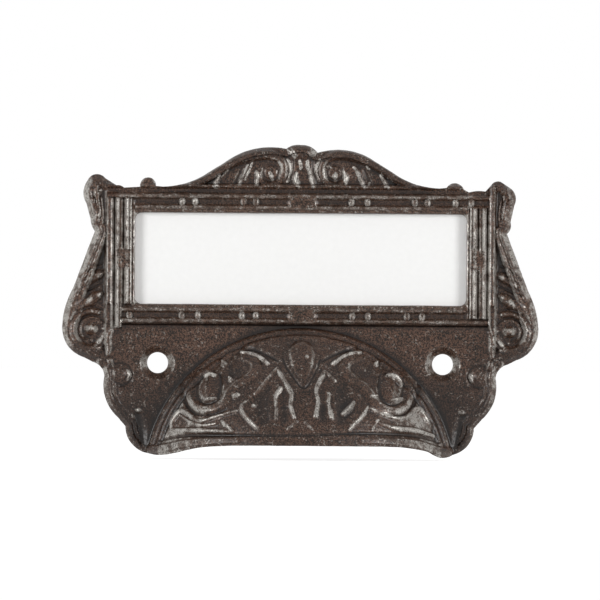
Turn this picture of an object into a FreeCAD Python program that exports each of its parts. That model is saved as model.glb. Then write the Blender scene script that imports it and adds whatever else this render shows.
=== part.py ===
"""Cast-iron drawer pull with a label frame above a finger hood.

Millimetres. X runs to the right, Z up, and the front faces -Y. The origin is the
midpoint between the two screw holes, on the flat back that lies on the drawer.
"""
import FreeCAD
import Part
import math
import os
import Sketcher
from FreeCAD import Placement, Rotation, Vector

doc = FreeCAD.newDocument("label_frame_pull")

# Driving dimensions
DIMENSIONS = [
    ("window_width", 69.8, "clear width of the label window"),
    ("window_height", 19.2, "clear height of the label window"),
    ("window_corner", 1.5, "corner radius of the label window"),
    ("window_sill", 12.4, "height of the window's lower edge above the screw line"),
    ("moulding_width", 5.2, "width of the reeded moulding round the window"),
    ("plate_depth", 2.4, "thickness of the plain back plate"),
    ("moulding_depth", 4.2, "thickness of the casting over the moulding's reeds"),
    ("screw_spacing", 60.0, "distance between the two screw holes"),
    ("screw_hole", 4.4, "diameter of the screw holes"),
    ("countersink", 7.4, "outer diameter of the countersinks"),
    ("side_scroll", 10.0, "reach of the side scrolls beyond the moulding"),
    ("crest_rise", 8.7, "height of the crest above the moulding"),
    ("cup_width", 63.4, "width of the hood at its lip"),
    ("cup_height", 24.5, "height of the hood from lip to arch"),
    ("cup_projection", 21.0, "reach of the hood from the back of the plate"),
    ("cup_wall", 2.2, "thickness of the hood's shell"),
    ("card_lap", 1.8, "lap of the card behind the window's edges"),
    ("card_depth", 0.5, "thickness of the label card"),
    ("rebate_depth", 1.2, "depth of the rebate that holds the card"),
    ("card_slack", 0.3, "clearance round the card in its rebate"),
    ("scroll_radius", 0.9, "half width of the larger scroll ridges"),
    ("leaf_radius", 0.6, "half width of the finer leaf ridges"),
    ("lobe_radius", 1.5, "half width of the side leaves"),
]
sheet = doc.addObject("Spreadsheet::Sheet", "dimensions")
for row, (alias, value, meaning) in enumerate(DIMENSIONS, start=1):
    sheet.set(f"A{row}", meaning)
    sheet.set(f"B{row}", str(value))
    sheet.setAlias(f"B{row}", alias)
doc.recompute()


def dim(alias):
    """The value of one driving dimension."""
    return float(sheet.get(alias))


def add(kind, label, **bindings):
    """A document object whose sizes are bound to the dimension sheet."""
    item = doc.addObject(kind, label)
    for path, expression in bindings.items():
        item.setExpression(path.replace("__", "."), expression)
    return item


def fuse(label, shapes):
    """Pieces grown together into one."""
    whole = doc.addObject("Part::MultiFuse", label)
    whole.Shapes = shapes
    whole.Refine = False
    return whole


# Levels and lines that the shapes share
half_window = dim("window_width") / 2
window_top = dim("window_sill") + dim("window_height")
window_middle = dim("window_sill") + dim("window_height") / 2
frame_side = half_window + dim("moulding_width")
frame_top = window_top + dim("moulding_width")
frame_base = dim("window_sill") - dim("moulding_width")
half_cup = dim("cup_width") / 2
cup_top = frame_base + 0.2
lip_level = cup_top - dim("cup_height")
tip_level = lip_level - 2.3
neck_level = frame_base - 10.2

# The hood's outside is a ball, and its arch is where the ball meets the plate
arch_radius = (dim("cup_height") ** 2 + half_cup**2) / (2 * dim("cup_height"))
cup_axis = cup_top - arch_radius
bulge = dim("cup_projection") - dim("plate_depth")
lip_offset = lip_level - cup_axis
ball_setback = (arch_radius**2 - lip_offset**2 - bulge**2) / (2 * bulge)
ball_radius = math.hypot(arch_radius, ball_setback)
ball_centre = Vector(0, ball_setback - dim("plate_depth"), cup_axis)


def front_point(x, z, depth=0.0):
    """A point given by its place in the front view and its height above the back."""
    return Vector(x, -depth, z)


def crest_point(across, up):
    """A place on the crest, as parts of the window's half width and the crest's rise."""
    return (across * half_window, frame_top + up * dim("crest_rise"))


def side_point(out, up):
    """A place beside the moulding, from its upper outside corner."""
    return (frame_side + out, frame_top + up)


def scroll_point(inward, up):
    """A place on the side scroll, from its outermost point at the moulding's base."""
    return (frame_side + dim("side_scroll") - inward, frame_base + up)


def cheek_point(out, down):
    """A place beside the hood: out from its lip, and part of the way to the lip."""
    return (half_cup + out, neck_level + down * (lip_level - neck_level))


# Right half of the outline, from the crest's ball down to the tip beside the lip.
# Each stretch is a line to a point, or an arc through one point to another.
OUTLINE = [
    (crest_point(0.055, 0.995), crest_point(0.095, 0.925)),
    (crest_point(0.28, 0.955), crest_point(0.44, 0.69)),
    (crest_point(0.58, 0.33),),
    (crest_point(0.7, 0.115), crest_point(0.835, 0.03)),
    (side_point(-9.4, 0.4),),
    (side_point(-7.8, 2.0), side_point(-6.0, 0.25)),
    (side_point(-1.6, 0.25),),
    (side_point(-0.2, 1.9), side_point(1.9, 2.5)),
    (side_point(4.3, 1.3), side_point(5.3, -1.4)),
    (side_point(4.7, -4.4), side_point(3.9, -7.2)),
    (side_point(3.9, -8.3), side_point(3.3, -9.2)),
    (scroll_point(2.2, 8.4),),
    (scroll_point(0.65, 4.6), scroll_point(0, 0.9)),
    (scroll_point(0.85, -3.2), scroll_point(4.6, -6.2)),
    (scroll_point(6.4, -7.1),),
    (scroll_point(7.9, -7.9), cheek_point(9.5, 0.0)),
    (cheek_point(9.5, 0.25), cheek_point(6.7, 0.6)),
    (cheek_point(5.0, 0.74),),
    (cheek_point(3.9, 0.97), (half_cup - 0.6, tip_level)),
]


def outline_edges():
    """The whole outline, mirrored left to right and closed below."""
    edges = []
    for side in (1, -1):
        start = crest_point(0, 1.06)
        for stretch in OUTLINE:
            points = [Vector(side * x, z, 0) for x, z in (start, *stretch)]
            if len(points) == 2:
                edges.append(Part.LineSegment(*points))
            else:
                edges.append(Part.Arc(*points))
            start = stretch[-1]
    tip = Vector(start[0], start[1], 0)
    edges.append(Part.LineSegment(tip, Vector(-tip.x, tip.y, 0)))
    return edges


def rounded_rectangle(width, height, middle, corner):
    """Edges of a rectangle with round corners, centred on the middle line."""
    x, z = width / 2 - corner, height / 2 - corner
    edges = []
    for turn, (sx, sz) in enumerate([(1, 1), (-1, 1), (-1, -1), (1, -1)]):
        centre = Vector(sx * x, middle + sz * z, 0)
        first = math.radians(90 * turn)
        circle = Part.Circle(centre, Vector(0, 0, 1), corner)
        edges.append(Part.ArcOfCircle(circle, first, first + math.pi / 2))
    ends = [(edge.EndPoint, edges[(i + 1) % 4].StartPoint) for i, edge in enumerate(edges)]
    return edges + [Part.LineSegment(a, b) for a, b in ends]


def front_sketch(label, edges, body=None):
    """A sketch in the front view, whose normal points out of the front."""
    if body:
        sketch = body.newObject("Sketcher::SketchObject", label)
        sketch.AttachmentSupport = [(body.Origin.OriginFeatures[4], "")]
        sketch.MapMode = "FlatFace"
    else:
        sketch = doc.addObject("Sketcher::SketchObject", label)
        sketch.Placement = Placement(Vector(), Rotation(Vector(1, 0, 0), 90))
    sketch.addGeometry(edges, False)
    return sketch


# Back plate
plate = doc.addObject("PartDesign::Body", "plate")
plate_outline = front_sketch("plate_outline", outline_edges(), plate)
plate_pad = plate.newObject("PartDesign::Pad", "plate_pad")
plate_pad.Profile = plate_outline
plate_pad.setExpression("Length", "dimensions.plate_depth")
plate.Tip = plate_pad

# Reeded moulding, one section carried round the window with mitred corners
MOULDING_SECTION = [
    (-0.1, 0.1),
    (0.14, 0.4),
    (0.21, 1.0),
    (0.34, 1.0),
    (0.42, 0.4),
    (0.56, 0.4),
    (0.64, 1.0),
    (0.77, 1.0),
    (0.84, 0.3),
    (0.9, 0.65),
    (0.98, 0.65),
    (1.0, 0.2),
    (1.0, -0.6),
    (-0.1, -0.6),
]


def moulding_point(out, up):
    """A place on the moulding's section above the window, in the side view."""
    relief = dim("moulding_depth") - dim("plate_depth")
    depth = dim("plate_depth") + up * relief
    return Vector(-depth, window_top + out * dim("moulding_width"), 0)


section_points = [moulding_point(*place) for place in MOULDING_SECTION]
section_edges = [
    Part.LineSegment(a, b) for a, b in zip(section_points, section_points[1:] + section_points[:1])
]
corners = [
    (0, window_top),
    (half_window, window_top),
    (half_window, dim("window_sill")),
    (-half_window, dim("window_sill")),
    (-half_window, window_top),
    (0, window_top),
]
path_edges = [
    Part.LineSegment(Vector(*a, 0), Vector(*b, 0)) for a, b in zip(corners, corners[1:])
]
moulding = doc.addObject("PartDesign::Body", "moulding")
moulding_path = front_sketch("moulding_path", path_edges, moulding)
moulding_section = moulding.newObject("Sketcher::SketchObject", "moulding_section")
moulding_section.AttachmentSupport = [(moulding.Origin.OriginFeatures[5], "")]
moulding_section.MapMode = "FlatFace"
moulding_section.addGeometry(section_edges, False)
moulding_pipe = moulding.newObject("PartDesign::AdditivePipe", "moulding_pipe")
moulding_pipe.Profile = moulding_section
moulding_pipe.Spine = (moulding_path, [f"Edge{i + 1}" for i in range(len(path_edges))])
moulding_pipe.Transition = "Right corner"
moulding.Tip = moulding_pipe
doc.recompute()

# Hood, a profile turned about the arch's axis
cup = doc.addObject("PartDesign::Body", "cup")
EDGING = 0.5
EDGING_WIDTH = 1.9
root_depth = dim("plate_depth") / 2


def ball_point(radius, reach):
    """A place on a ball about the hood's centre, in the side view."""
    depth = math.sqrt(radius**2 - reach**2)
    return Vector(ball_centre.y - depth, cup_axis + reach, 0)


edging_reach = arch_radius - EDGING_WIDTH
edging_out = edging_reach * (ball_radius + EDGING) / ball_radius
root_reach = math.sqrt((ball_radius + EDGING) ** 2 - (ball_centre.y + root_depth) ** 2)
apex = ball_point(ball_radius, 0)
inner_edge = ball_point(ball_radius, edging_reach)
outer_edge = ball_point(ball_radius + EDGING, edging_out)
foot = Vector(-root_depth, cup_axis + root_reach, 0)
axis_foot = Vector(-root_depth, cup_axis, 0)
profile = [
    Part.LineSegment(axis_foot, apex),
    Part.Arc(apex, ball_point(ball_radius, edging_reach / 2), inner_edge),
    Part.LineSegment(inner_edge, outer_edge),
    Part.Arc(outer_edge, ball_point(ball_radius + EDGING, (edging_out + root_reach) / 2), foot),
    Part.LineSegment(foot, axis_foot),
]
cup_profile = cup.newObject("Sketcher::SketchObject", "cup_profile")
cup_profile.AttachmentSupport = [(cup.Origin.OriginFeatures[5], "")]
cup_profile.MapMode = "FlatFace"
cup_profile.addGeometry(profile, False)
cup_profile.addGeometry(Part.LineSegment(axis_foot, axis_foot + Vector(10, 0, 0)), True)
cup_turn = cup.newObject("PartDesign::Revolution", "cup_turn")
cup_turn.Profile = cup_profile
cup_turn.ReferenceAxis = (cup_profile, ["Axis0"])
cup_turn.Angle = 180
cup_turn.Midplane = True
cup.Tip = cup_turn
doc.recompute()

# Thickened lip along the hood's open edge
BAND_HEIGHT = 1.7
lip_ball = add("Part::Sphere", "lip_ball")
lip_ball.Radius = ball_radius + EDGING
lip_ball.Placement.Base = ball_centre
lip_room = add("Part::Box", "lip_room", Width="dimensions.cup_projection * 2")
lip_room.Length = 2 * arch_radius
lip_room.Height = lip_level + BAND_HEIGHT - cup_axis
lip_room.Placement.Base = Vector(-arch_radius, -2 * dim("cup_projection") - root_depth, cup_axis)
lip_band = add("Part::Common", "lip_band")
lip_band.Base = lip_ball
lip_band.Tool = lip_room


def on_plate(x, z):
    """The plate's front surface: the point there and the way it faces."""
    return front_point(x, z, dim("plate_depth")), Vector(0, -1, 0)


def on_ball(x, z):
    """The hood's outside surface: the point there and the way it faces."""
    reach = ball_radius**2 - x**2 - (z - cup_axis) ** 2
    point = Vector(x, ball_centre.y - math.sqrt(reach), z)
    return point, (point - ball_centre).normalize()


def scroll_path(surface, side, start, heading, stretches):
    """Arcs that run smoothly over a surface.

    A stretch is its length and the angle it turns through, to the left when positive,
    as drawn on the right half; the left half is its mirror image.
    """
    point, normal = surface(side * start[0], start[1])
    angle = math.radians(heading)
    ahead = Vector(side * math.cos(angle), 0, math.sin(angle))
    ahead = (ahead - normal * ahead.dot(normal)).normalize()
    centre = ball_centre if surface is on_ball else None
    edges = []
    for length, turn in stretches:
        bend = side * math.radians(turn) / length
        if centre:
            normal = (point - centre).normalize()
            radius = 1 / math.hypot(bend, 1 / ball_radius)
            lean = radius / ball_radius
            axis = normal.cross(ahead) * lean
            axis += normal * math.copysign(math.sqrt(1 - lean**2), bend)
            hub = centre
        elif turn:
            radius = 1 / abs(bend)
            axis = normal * math.copysign(1, bend)
            hub = point + normal.cross(ahead) / bend
        else:
            edges.append(Part.makeLine(point, point + ahead * length))
            point = point + ahead * length
            continue
        degrees = math.degrees(length / radius)
        half, whole = Rotation(axis, degrees / 2), Rotation(axis, degrees)
        middle = hub + half.multVec(point - hub)
        end = hub + whole.multVec(point - hub)
        edges.append(Part.Arc(point, middle, end).toShape())
        point, ahead = end, whole.multVec(ahead)
    return edges


def ridge(label, surface, width, start, heading, stretches, eye):
    """A sharp-backed ridge on both halves of the front, with a boss at its end for an eye."""
    pieces = []
    for side, name in ((1, "right"), (-1, "left")):
        edges = scroll_path(surface, side, start, heading, stretches)
        path = doc.addObject("Part::Feature", f"{label}_{name}_path")
        path.Shape = Part.Wire(edges)
        first, last = edges[0], edges[-1]
        foot, out = surface(side * start[0], start[1])
        ahead = first.tangentAt(first.FirstParameter)
        section = add(
            "Part::RegularPolygon",
            f"{label}_{name}_section",
            Circumradius=f"dimensions.{width}",
        )
        section.Polygon = 4
        section.Placement = Placement(foot, Rotation(out, Vector(), ahead, "ZXY"))
        bar = doc.addObject("Part::Sweep", f"{label}_{name}")
        bar.Sections = [section]
        bar.Spine = (path, [f"Edge{i + 1}" for i in range(len(edges))])
        bar.Solid = True
        pieces.append(bar)
        if eye:
            end = last.valueAt(last.LastParameter)
            boss = doc.addObject("Part::Prism", f"{label}_{name}_eye")
            boss.Polygon, boss.Circumradius, boss.Height = 8, eye, 1.4
            out = surface(end.x, end.z)[1]
            boss.Placement = Placement(end - out * 0.5, Rotation(Vector(0, 0, 1), out))
            pieces.append(boss)
    return pieces


def hood_point(across, up):
    """A place on the hood, measured from the middle of its lip at the drawn size."""
    return (across * hood_scale, lip_level + up * dim("cup_height") / 24.5)


hood_scale = half_cup / 31.7
crest_scale = half_window / 34.9
# Each ridge: name, surface, half width, start, heading, scale, eye, stretches
RIDGES = [
    ("hood_scroll", on_ball, "scroll_radius", hood_point(15.0, 18.1), 165, hood_scale, 1.4,
     [(7.4, 45), (3.4, 108), (7.4, 8), (7.8, 36), (6.6, 90), (5.6, 90), (4.2, 90)]),
    ("palmette_rib", on_ball, "leaf_radius", hood_point(4.2, 15.6), -119, hood_scale, 0,
     [(6.2, 10), (5.6, 16)]),
    ("palmette_edge", on_ball, "leaf_radius", hood_point(5.6, 14.9), -48, hood_scale, 0,
     [(5.2, -4)]),
    ("palmette_lobe", on_ball, "leaf_radius", hood_point(11.7, 8.3), -72, hood_scale, 0,
     [(6.6, -68)]),
    ("border_leaf", on_ball, "leaf_radius", hood_point(26.8, 4.2), 122, hood_scale, 0,
     [(2.6, 8), (1.9, 85), (9.4, -61)]),
    ("crest_rim", on_plate, "scroll_radius", crest_point(0.676, 0.02), 155, crest_scale, 0,
     [(4.4, -7.3), (5.8, 0), (8.6, 32.3), (6.1, 90), (4.7, 90), (4.1, 90)]),
    ("crest_leaf", on_plate, "leaf_radius", crest_point(0.305, 0.55), -64, crest_scale, 0,
     [(4.4, 0)]),
    ("crest_bud", on_plate, "leaf_radius", crest_point(0.424, 0.41), -50, crest_scale, 0,
     [(3.8, 0)]),
    ("stalk", on_plate, "leaf_radius", crest_point(0.03, 0.6), -92, crest_scale, 0,
     [(4.6, 0)]),
    ("side_bar", on_plate, "scroll_radius", side_point(3.1, -10.6), -69.5, 1.0, 1.8,
     [(11.0, 0), (7.5, -26), (6.6, -90), (5.8, -90), (5.0, -100)]),
    ("upper_lobe", on_plate, "lobe_radius", side_point(5.0, -20.6), 145, 1.0, 0,
     [(4.6, 0)]),
    ("lower_lobe", on_plate, "lobe_radius", side_point(6.0, -25.4), 142, 1.0, 0,
     [(5.0, 0)]),
    ("cheek_rim", on_plate, "scroll_radius", cheek_point(3.2, 0.93), 60, 1.0, 1.1,
     [(5.0, 0), (8.6, 32), (3.6, 90), (3.0, 100)]),
    ("collar", on_plate, "scroll_radius", scroll_point(7.2, -7.4), -158, 1.0, 0,
     [(3.6, 0)]),
    ("ear", on_plate, "scroll_radius", side_point(3.2, -7.0), 80, 1.0, 0,
     [(5.4, 0), (3.4, 70)]),
]
hood_relief, plate_relief = [], []
for label, surface, width, start, heading, scale, eye, stretches in RIDGES:
    steps = [(length * scale, turn) for length, turn in stretches]
    ridges = ridge(label, surface, width, start, heading, steps, eye)
    (hood_relief if surface is on_ball else plate_relief).extend(ridges)


# Faceted boss on top of the crest
crest_boss = doc.addObject("Part::Prism", "crest_boss")
crest_boss.Polygon, crest_boss.Circumradius, crest_boss.Height = 12, 2.4, 2.4
boss_x, boss_z = crest_point(0, 0.74)
crest_boss.Placement = Placement(
    front_point(boss_x, boss_z, dim("plate_depth") - 1), Rotation(Vector(1, 0, 0), 90)
)
plate_relief.append(crest_boss)

# Shield in the middle of the hood
SHIELD = [(0, 21.2), (3.6, 17.2), (0, 12.4), (-3.6, 17.2)]
shield_points = [Vector(*hood_point(*place), 0) for place in SHIELD]
shield_edges = [
    Part.LineSegment(a, b) for a, b in zip(shield_points, shield_points[1:] + shield_points[:1])
]
shield_prism = add("Part::Extrusion", "shield_prism", LengthFwd="dimensions.cup_projection + 5")
shield_prism.Base = front_sketch("shield_outline", shield_edges)
shield_prism.DirMode = "Normal"
shield_prism.Solid = True
shield_ball = doc.addObject("Part::Sphere", "shield_ball")
shield_ball.Radius = ball_radius + 0.7
shield_ball.Placement.Base = ball_centre
shield = doc.addObject("Part::Common", "shield")
shield.Base = shield_prism
shield.Tool = shield_ball

# Plain tablets that stop the reeds half way along each side
TABLET = 5.4
tablets = []
rails = [
    ("top", 0, window_top, TABLET, None),
    ("base", 0, frame_base, TABLET, None),
    ("right", half_window, window_middle, None, 4.2),
    ("left", -frame_side, window_middle, None, 4.2),
]
for name, x, z, length, height in rails:
    tablet = add("Part::Box", f"tablet_{name}", Width="dimensions.moulding_depth - 1.6")
    run = 0.74 * dim("moulding_width")
    inset = 0.13 * dim("moulding_width")
    tablet.Length = length or run
    tablet.Height = height or run
    left = x - length / 2 if length else x + inset
    low = z - height / 2 if height else z + inset
    tablet.Placement.Base = Vector(left, -dim("moulding_depth") - 0.1, low)
    tablets.append(tablet)

# Pairs of beads in the groove between the reeds
beads = []
for rail, level in (("top", window_top), ("base", frame_base)):
    groove = level + (0.49 if rail == "top" else 0.51) * dim("moulding_width")
    for number, part in enumerate((-0.73, -0.64, -0.37, -0.29, 0.29, 0.37, 0.64, 0.73)):
        bead = add("Part::Prism", f"bead_{rail}_{number}", Height="dimensions.moulding_depth - 1.8")
        bead.Polygon = 4
        bead.Circumradius = 0.75
        bead.Placement = Placement(
            front_point(part * half_window, groove, 1.7), Rotation(Vector(1, 0, 0), 90)
        )
        beads.append(bead)

# What is cut away: the window, the card's rebate, the hood's hollow, the screws, the lip
def cutter(label, edges, **bindings):
    """A prism through the casting, from a sketch in the front view."""
    prism = add("Part::Extrusion", label, **bindings)
    prism.Base = front_sketch(f"{label}_outline", edges)
    prism.DirMode = "Normal"
    prism.Solid = True
    return prism


window_cut = cutter(
    "window_cut",
    rounded_rectangle(
        dim("window_width"), dim("window_height"), window_middle, dim("window_corner")
    ),
    LengthFwd="dimensions.moulding_depth + 2",
    LengthRev="1",
)
rebate_size = (
    dim("window_width") + 2 * dim("card_lap"),
    dim("window_height") + 2 * dim("card_lap"),
)
rebate_cut = cutter(
    "rebate_cut",
    rounded_rectangle(*rebate_size, window_middle, 0.8),
    LengthFwd="dimensions.rebate_depth",
    LengthRev="1",
)
hollow = doc.addObject("Part::Sphere", "hollow")
hollow.Radius = ball_radius - dim("cup_wall")
hollow.Placement.Base = ball_centre
LIP_FLAT = 12.0
lip_drop = 2.2
reach = half_cup + 4
lip_bend = ((half_cup - 3 - LIP_FLAT) ** 2 + lip_drop**2) / (2 * lip_drop)
fall = math.asin((reach - LIP_FLAT) / lip_bend)


def lip_place(angle, side):
    """A place on the lip's falling end, by its angle about the bend's centre."""
    x = LIP_FLAT + lip_bend * math.sin(angle)
    return Vector(side * x, lip_level - lip_bend * (1 - math.cos(angle)), 0)


floor_level = lip_level - 3 * dim("cup_height")
lip_edges = [Part.LineSegment(lip_place(0, -1), lip_place(0, 1))]
for side in (1, -1):
    lip_edges.append(Part.Arc(*(lip_place(fall * part, side) for part in (0, 0.5, 1))))
    end = lip_place(fall, side)
    lip_edges.append(Part.LineSegment(end, Vector(end.x, floor_level, 0)))
lip_edges.append(Part.LineSegment(Vector(-end.x, floor_level, 0), Vector(end.x, floor_level, 0)))
lip_cut = cutter("lip_cut", lip_edges, LengthFwd="dimensions.cup_projection * 2", LengthRev="1")
cutters = [window_cut, rebate_cut, hollow, lip_cut]
for side, name in ((1, "right"), (-1, "left")):
    bore = add(
        "Part::Cylinder",
        f"screw_bore_{name}",
        Radius="dimensions.screw_hole / 2",
        Height="dimensions.plate_depth + 2",
    )
    sink = add("Part::Cone", f"screw_sink_{name}", Radius1="dimensions.screw_hole / 2")
    flare = (dim("countersink") - dim("screw_hole")) / 2
    sink.Radius2 = dim("countersink") / 2 + 0.5
    sink.Height = flare + 0.5
    x = side * dim("screw_spacing") / 2
    bore.Placement = Placement(front_point(x, 0, -1), Rotation(Vector(1, 0, 0), 90))
    sink.Placement = Placement(
        front_point(x, 0, dim("plate_depth") - flare), Rotation(Vector(1, 0, 0), 90)
    )
    cutters += [bore, sink]

# One casting
silhouette = cutter("silhouette", outline_edges(), LengthFwd="dimensions.cup_projection * 2")
plain_hood = doc.addObject("Part::Common", "plain_hood")
plain_hood.Base = fuse("whole_hood", [cup, lip_band])
plain_hood.Tool = silhouette
plain_hood.Refine = False
hood = fuse("hood", [plain_hood, shield] + hood_relief)
framed_plate = fuse("framed_plate", [plate, moulding] + tablets + beads)
grown_relief = fuse("grown_relief", plate_relief)
ornate_plate = fuse("ornate_plate", [framed_plate, grown_relief])
solid = fuse("solid_casting", [ornate_plate, hood])
waste = fuse("waste", cutters)
casting = doc.addObject("Part::Cut", "casting")
casting.Base = solid
casting.Tool = waste
casting.Refine = False
doc.recompute()

# Blank card in the rebate
label_card = add("Part::Box", "label_card", Width="dimensions.card_depth")
label_card.Length = rebate_size[0] - 2 * dim("card_slack")
label_card.Height = rebate_size[1] - 2 * dim("card_slack")
label_card.Placement.Base = Vector(
    -label_card.Length.Value / 2,
    -dim("rebate_depth"),
    window_middle - label_card.Height.Value / 2,
)
doc.recompute()

# Nothing is written unless every shape came out whole
for item in doc.Objects:
    if {"Invalid", "Error"} & set(item.State):
        raise RuntimeError(f"{item.Label} could not be made: {item.State}")
    if item.isDerivedFrom("Part::Feature") and (item.Shape.isNull() or not item.Shape.isValid()):
        raise RuntimeError(f"{item.Label} has no valid shape")
os.makedirs("parts", exist_ok=True)
for node in (casting, label_card):
    node.Shape.exportStep(f"parts/{node.Label}.step")
    size = node.Shape.optimalBoundingBox()
    print(f"{node.Label}: {size.XLength:.2f} x {size.YLength:.2f} x {size.ZLength:.2f} mm,"
          f" {node.Shape.Volume:.0f} mm3, {len(node.Shape.Solids)} solid")
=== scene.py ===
# %% [markdown]
# # A label frame pull in cast iron
# The part is one iron casting: a reeded frame round a label window, a crest above it,
# scrolled sides, and a finger hood below, with a blank paper card held behind the window.
# The pull is drawn in millimetres and scaled to metres once its shape is done, because the
# ornament is small and millimetres keep its numbers readable. Camera, lamps and floor are
# placed in metres.

# %% Load the fixed frame
import math

import bpy
import numpy as np
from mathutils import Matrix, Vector, kdtree
from mathutils.geometry import delaunay_2d_cdt


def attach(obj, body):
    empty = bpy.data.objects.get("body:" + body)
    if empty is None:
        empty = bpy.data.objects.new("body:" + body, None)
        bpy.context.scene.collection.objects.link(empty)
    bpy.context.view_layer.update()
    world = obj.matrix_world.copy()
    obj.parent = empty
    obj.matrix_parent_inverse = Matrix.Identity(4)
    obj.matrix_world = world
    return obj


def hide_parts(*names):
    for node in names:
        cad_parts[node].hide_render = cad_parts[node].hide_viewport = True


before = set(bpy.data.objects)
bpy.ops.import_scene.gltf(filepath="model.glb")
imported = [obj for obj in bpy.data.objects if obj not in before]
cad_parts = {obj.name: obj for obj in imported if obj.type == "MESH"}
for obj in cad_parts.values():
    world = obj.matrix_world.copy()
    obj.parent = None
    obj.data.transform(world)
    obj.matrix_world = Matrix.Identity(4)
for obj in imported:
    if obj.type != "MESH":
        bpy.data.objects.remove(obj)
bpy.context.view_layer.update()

MM = 0.001
scene = bpy.context.scene
scene.view_settings.view_transform = "Standard"

# %% [markdown]
# ## Camera
# The picture is a straight front view from far away, so a long lens far off shows the
# hood's lip hardly larger than the plate behind it. The pull hangs a touch clockwise in
# the picture, so the camera rolls the other way by the same small angle.

# %% Place the camera
CAMERA_DISTANCE = 2.4
CAMERA_X, CAMERA_Z = -0.0001, 0.0134
VIEW_SPAN = 0.1264
ROLL = 0.4
SENSOR = 36
FARTHEST = 10
lens = bpy.data.cameras.new("camera")
lens.sensor_width = SENSOR
lens.lens = SENSOR * CAMERA_DISTANCE / VIEW_SPAN
lens.clip_end = FARTHEST
camera = bpy.data.objects.new("camera", lens)
camera.location = (CAMERA_X, -CAMERA_DISTANCE, CAMERA_Z)
camera.rotation_euler = (math.radians(90), math.radians(-ROLL), 0)
scene.collection.objects.link(camera)
scene.camera = camera
print("camera lens", round(lens.lens), "mm")

# %% [markdown]
# ## A small language for node trees
# Node trees are long to write by hand. One class wraps a socket, so that sums on sockets
# read like sums on numbers, and one method makes every other node. The same two classes
# serve the shaders and the Geometry Nodes trees below.


# %% Sockets that take part in sums
class Wire:
    """An output socket that takes part in sums."""

    def __init__(self, tree, node, socket):
        self.tree, self.node, self.socket = tree, node, socket

    def out(self, name):
        """Another output of the same node."""
        return Wire(self.tree, self.node, self.node.outputs[name])

    def math(self, operation, *others):
        """A Math node on this value and others."""
        values = dict(enumerate((self, *others)))
        return self.tree.node("ShaderNodeMath", {"operation": operation}, values)

    def __add__(self, other):
        return self.math("ADD", other)

    def __sub__(self, other):
        return self.math("SUBTRACT", other)

    def __mul__(self, other):
        return self.math("MULTIPLY", other)

    def __truediv__(self, other):
        return self.math("DIVIDE", other)

    def reflected(self, operation, other):
        """The same sum with the plain number first."""
        return self.tree.node("ShaderNodeMath", {"operation": operation}, {0: other, 1: self})

    def __rsub__(self, other):
        return self.reflected("SUBTRACT", other)

    def __rtruediv__(self, other):
        return self.reflected("DIVIDE", other)

    __radd__ = __add__
    __rmul__ = __mul__

    def clamp(self):
        """The value held between nought and one."""
        return self.math("MAXIMUM", 0.0).math("MINIMUM", 1.0)

    def between(self, low, high):
        """A smooth step from nought at low to one at high."""
        settings = {"interpolation_type": "SMOOTHSTEP"}
        values = {"Value": self, "From Min": low, "From Max": high}
        return self.tree.node("ShaderNodeMapRange", settings, values)


print("made", Wire.__name__, "for sums on sockets")


# %% One way to add a node
class Tree:
    """A node tree with one way to add a node."""

    def __init__(self, tree):
        self.tree = tree

    def node(self, kind, settings=None, values=None):
        """Adds a node, gives it its settings, then its values and links."""
        node = self.tree.nodes.new(kind)
        for name, value in (settings or {}).items():
            setattr(node, name, value)
        for name, value in (values or {}).items():
            if isinstance(value, Wire):
                self.tree.links.new(value.socket, node.inputs[name])
            else:
                node.inputs[name].default_value = value
        sockets = [socket for socket in node.outputs if socket.enabled]
        return Wire(self, node, sockets[0] if sockets else None)

    def vector(self, operation, *values):
        """A sum on vectors."""
        settings = {"operation": operation}
        return self.node("ShaderNodeVectorMath", settings, dict(enumerate(values)))

    def scaled(self, vector, factor):
        """A vector made longer or shorter."""
        values = {0: vector, "Scale": factor}
        return self.node("ShaderNodeVectorMath", {"operation": "SCALE"}, values)

    def noise(self, place, scale, detail=2.0):
        """Soft noise round a half, with so many lumps to the unit."""
        values = {"Vector": place, "Scale": scale, "Detail": detail}
        return self.node("ShaderNodeTexNoise", {}, values)

    def keep(self, geometry, name, value):
        """Stores a value on every point of a geometry, under a name."""
        settings = {"data_type": "FLOAT", "domain": "POINT"}
        values = {"Geometry": geometry, "Name": name, "Value": value}
        return self.node("GeometryNodeStoreNamedAttribute", settings, values)

    def kept(self, name):
        """A value that was stored under a name."""
        return self.node("GeometryNodeInputNamedAttribute", {"data_type": "FLOAT"}, {"Name": name})


print("made", Tree.__name__, "for shaders and for Geometry Nodes")

# %% [markdown]
# ## Studio
# A large soft lamp stands on each side of the pull, out in front of it, so facets that face
# sideways shine and those that face up or down stay dark. The finish paints those sideways
# facets lighter as well, as painted highlights, and paints shade elsewhere; with the lamps that
# makes the reeds of the upright mouldings bright and those of the rails dull. A lamp straight in
# front would light every facet alike and hide the carving. The world is white to the camera and
# to reflections, and dim as a light.

# %% Lamps
LAMP_OUT, LAMP_FRONT, LAMP_UP = 0.45, 0.34, 0.02
LAMP_SIZE = (0.18, 0.4)
LAMP_POWER = 2.6
MIDDLE = Vector((0, 0, 0.013))


def new_object(name, data):
    """An object in the scene, at the origin."""
    piece = bpy.data.objects.new(name, data)
    scene.collection.objects.link(piece)
    return piece


for name, side in (("left_softbox", -1), ("right_softbox", 1)):
    lamp = bpy.data.lights.new(name, "AREA")
    lamp.shape = "RECTANGLE"
    lamp.size, lamp.size_y = LAMP_SIZE
    lamp.energy = LAMP_POWER
    softbox = new_object(name, lamp)
    softbox.location = (side * LAMP_OUT, -LAMP_FRONT, LAMP_UP)
    aim = MIDDLE - softbox.location
    softbox.rotation_euler = aim.to_track_quat("-Z", "Y").to_euler()
print("lamps of", LAMP_POWER, "W,", LAMP_OUT, "m out on each side")

# %% World
AMBIENT = 0.4
WHITE = (1, 1, 1, 1)


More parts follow.
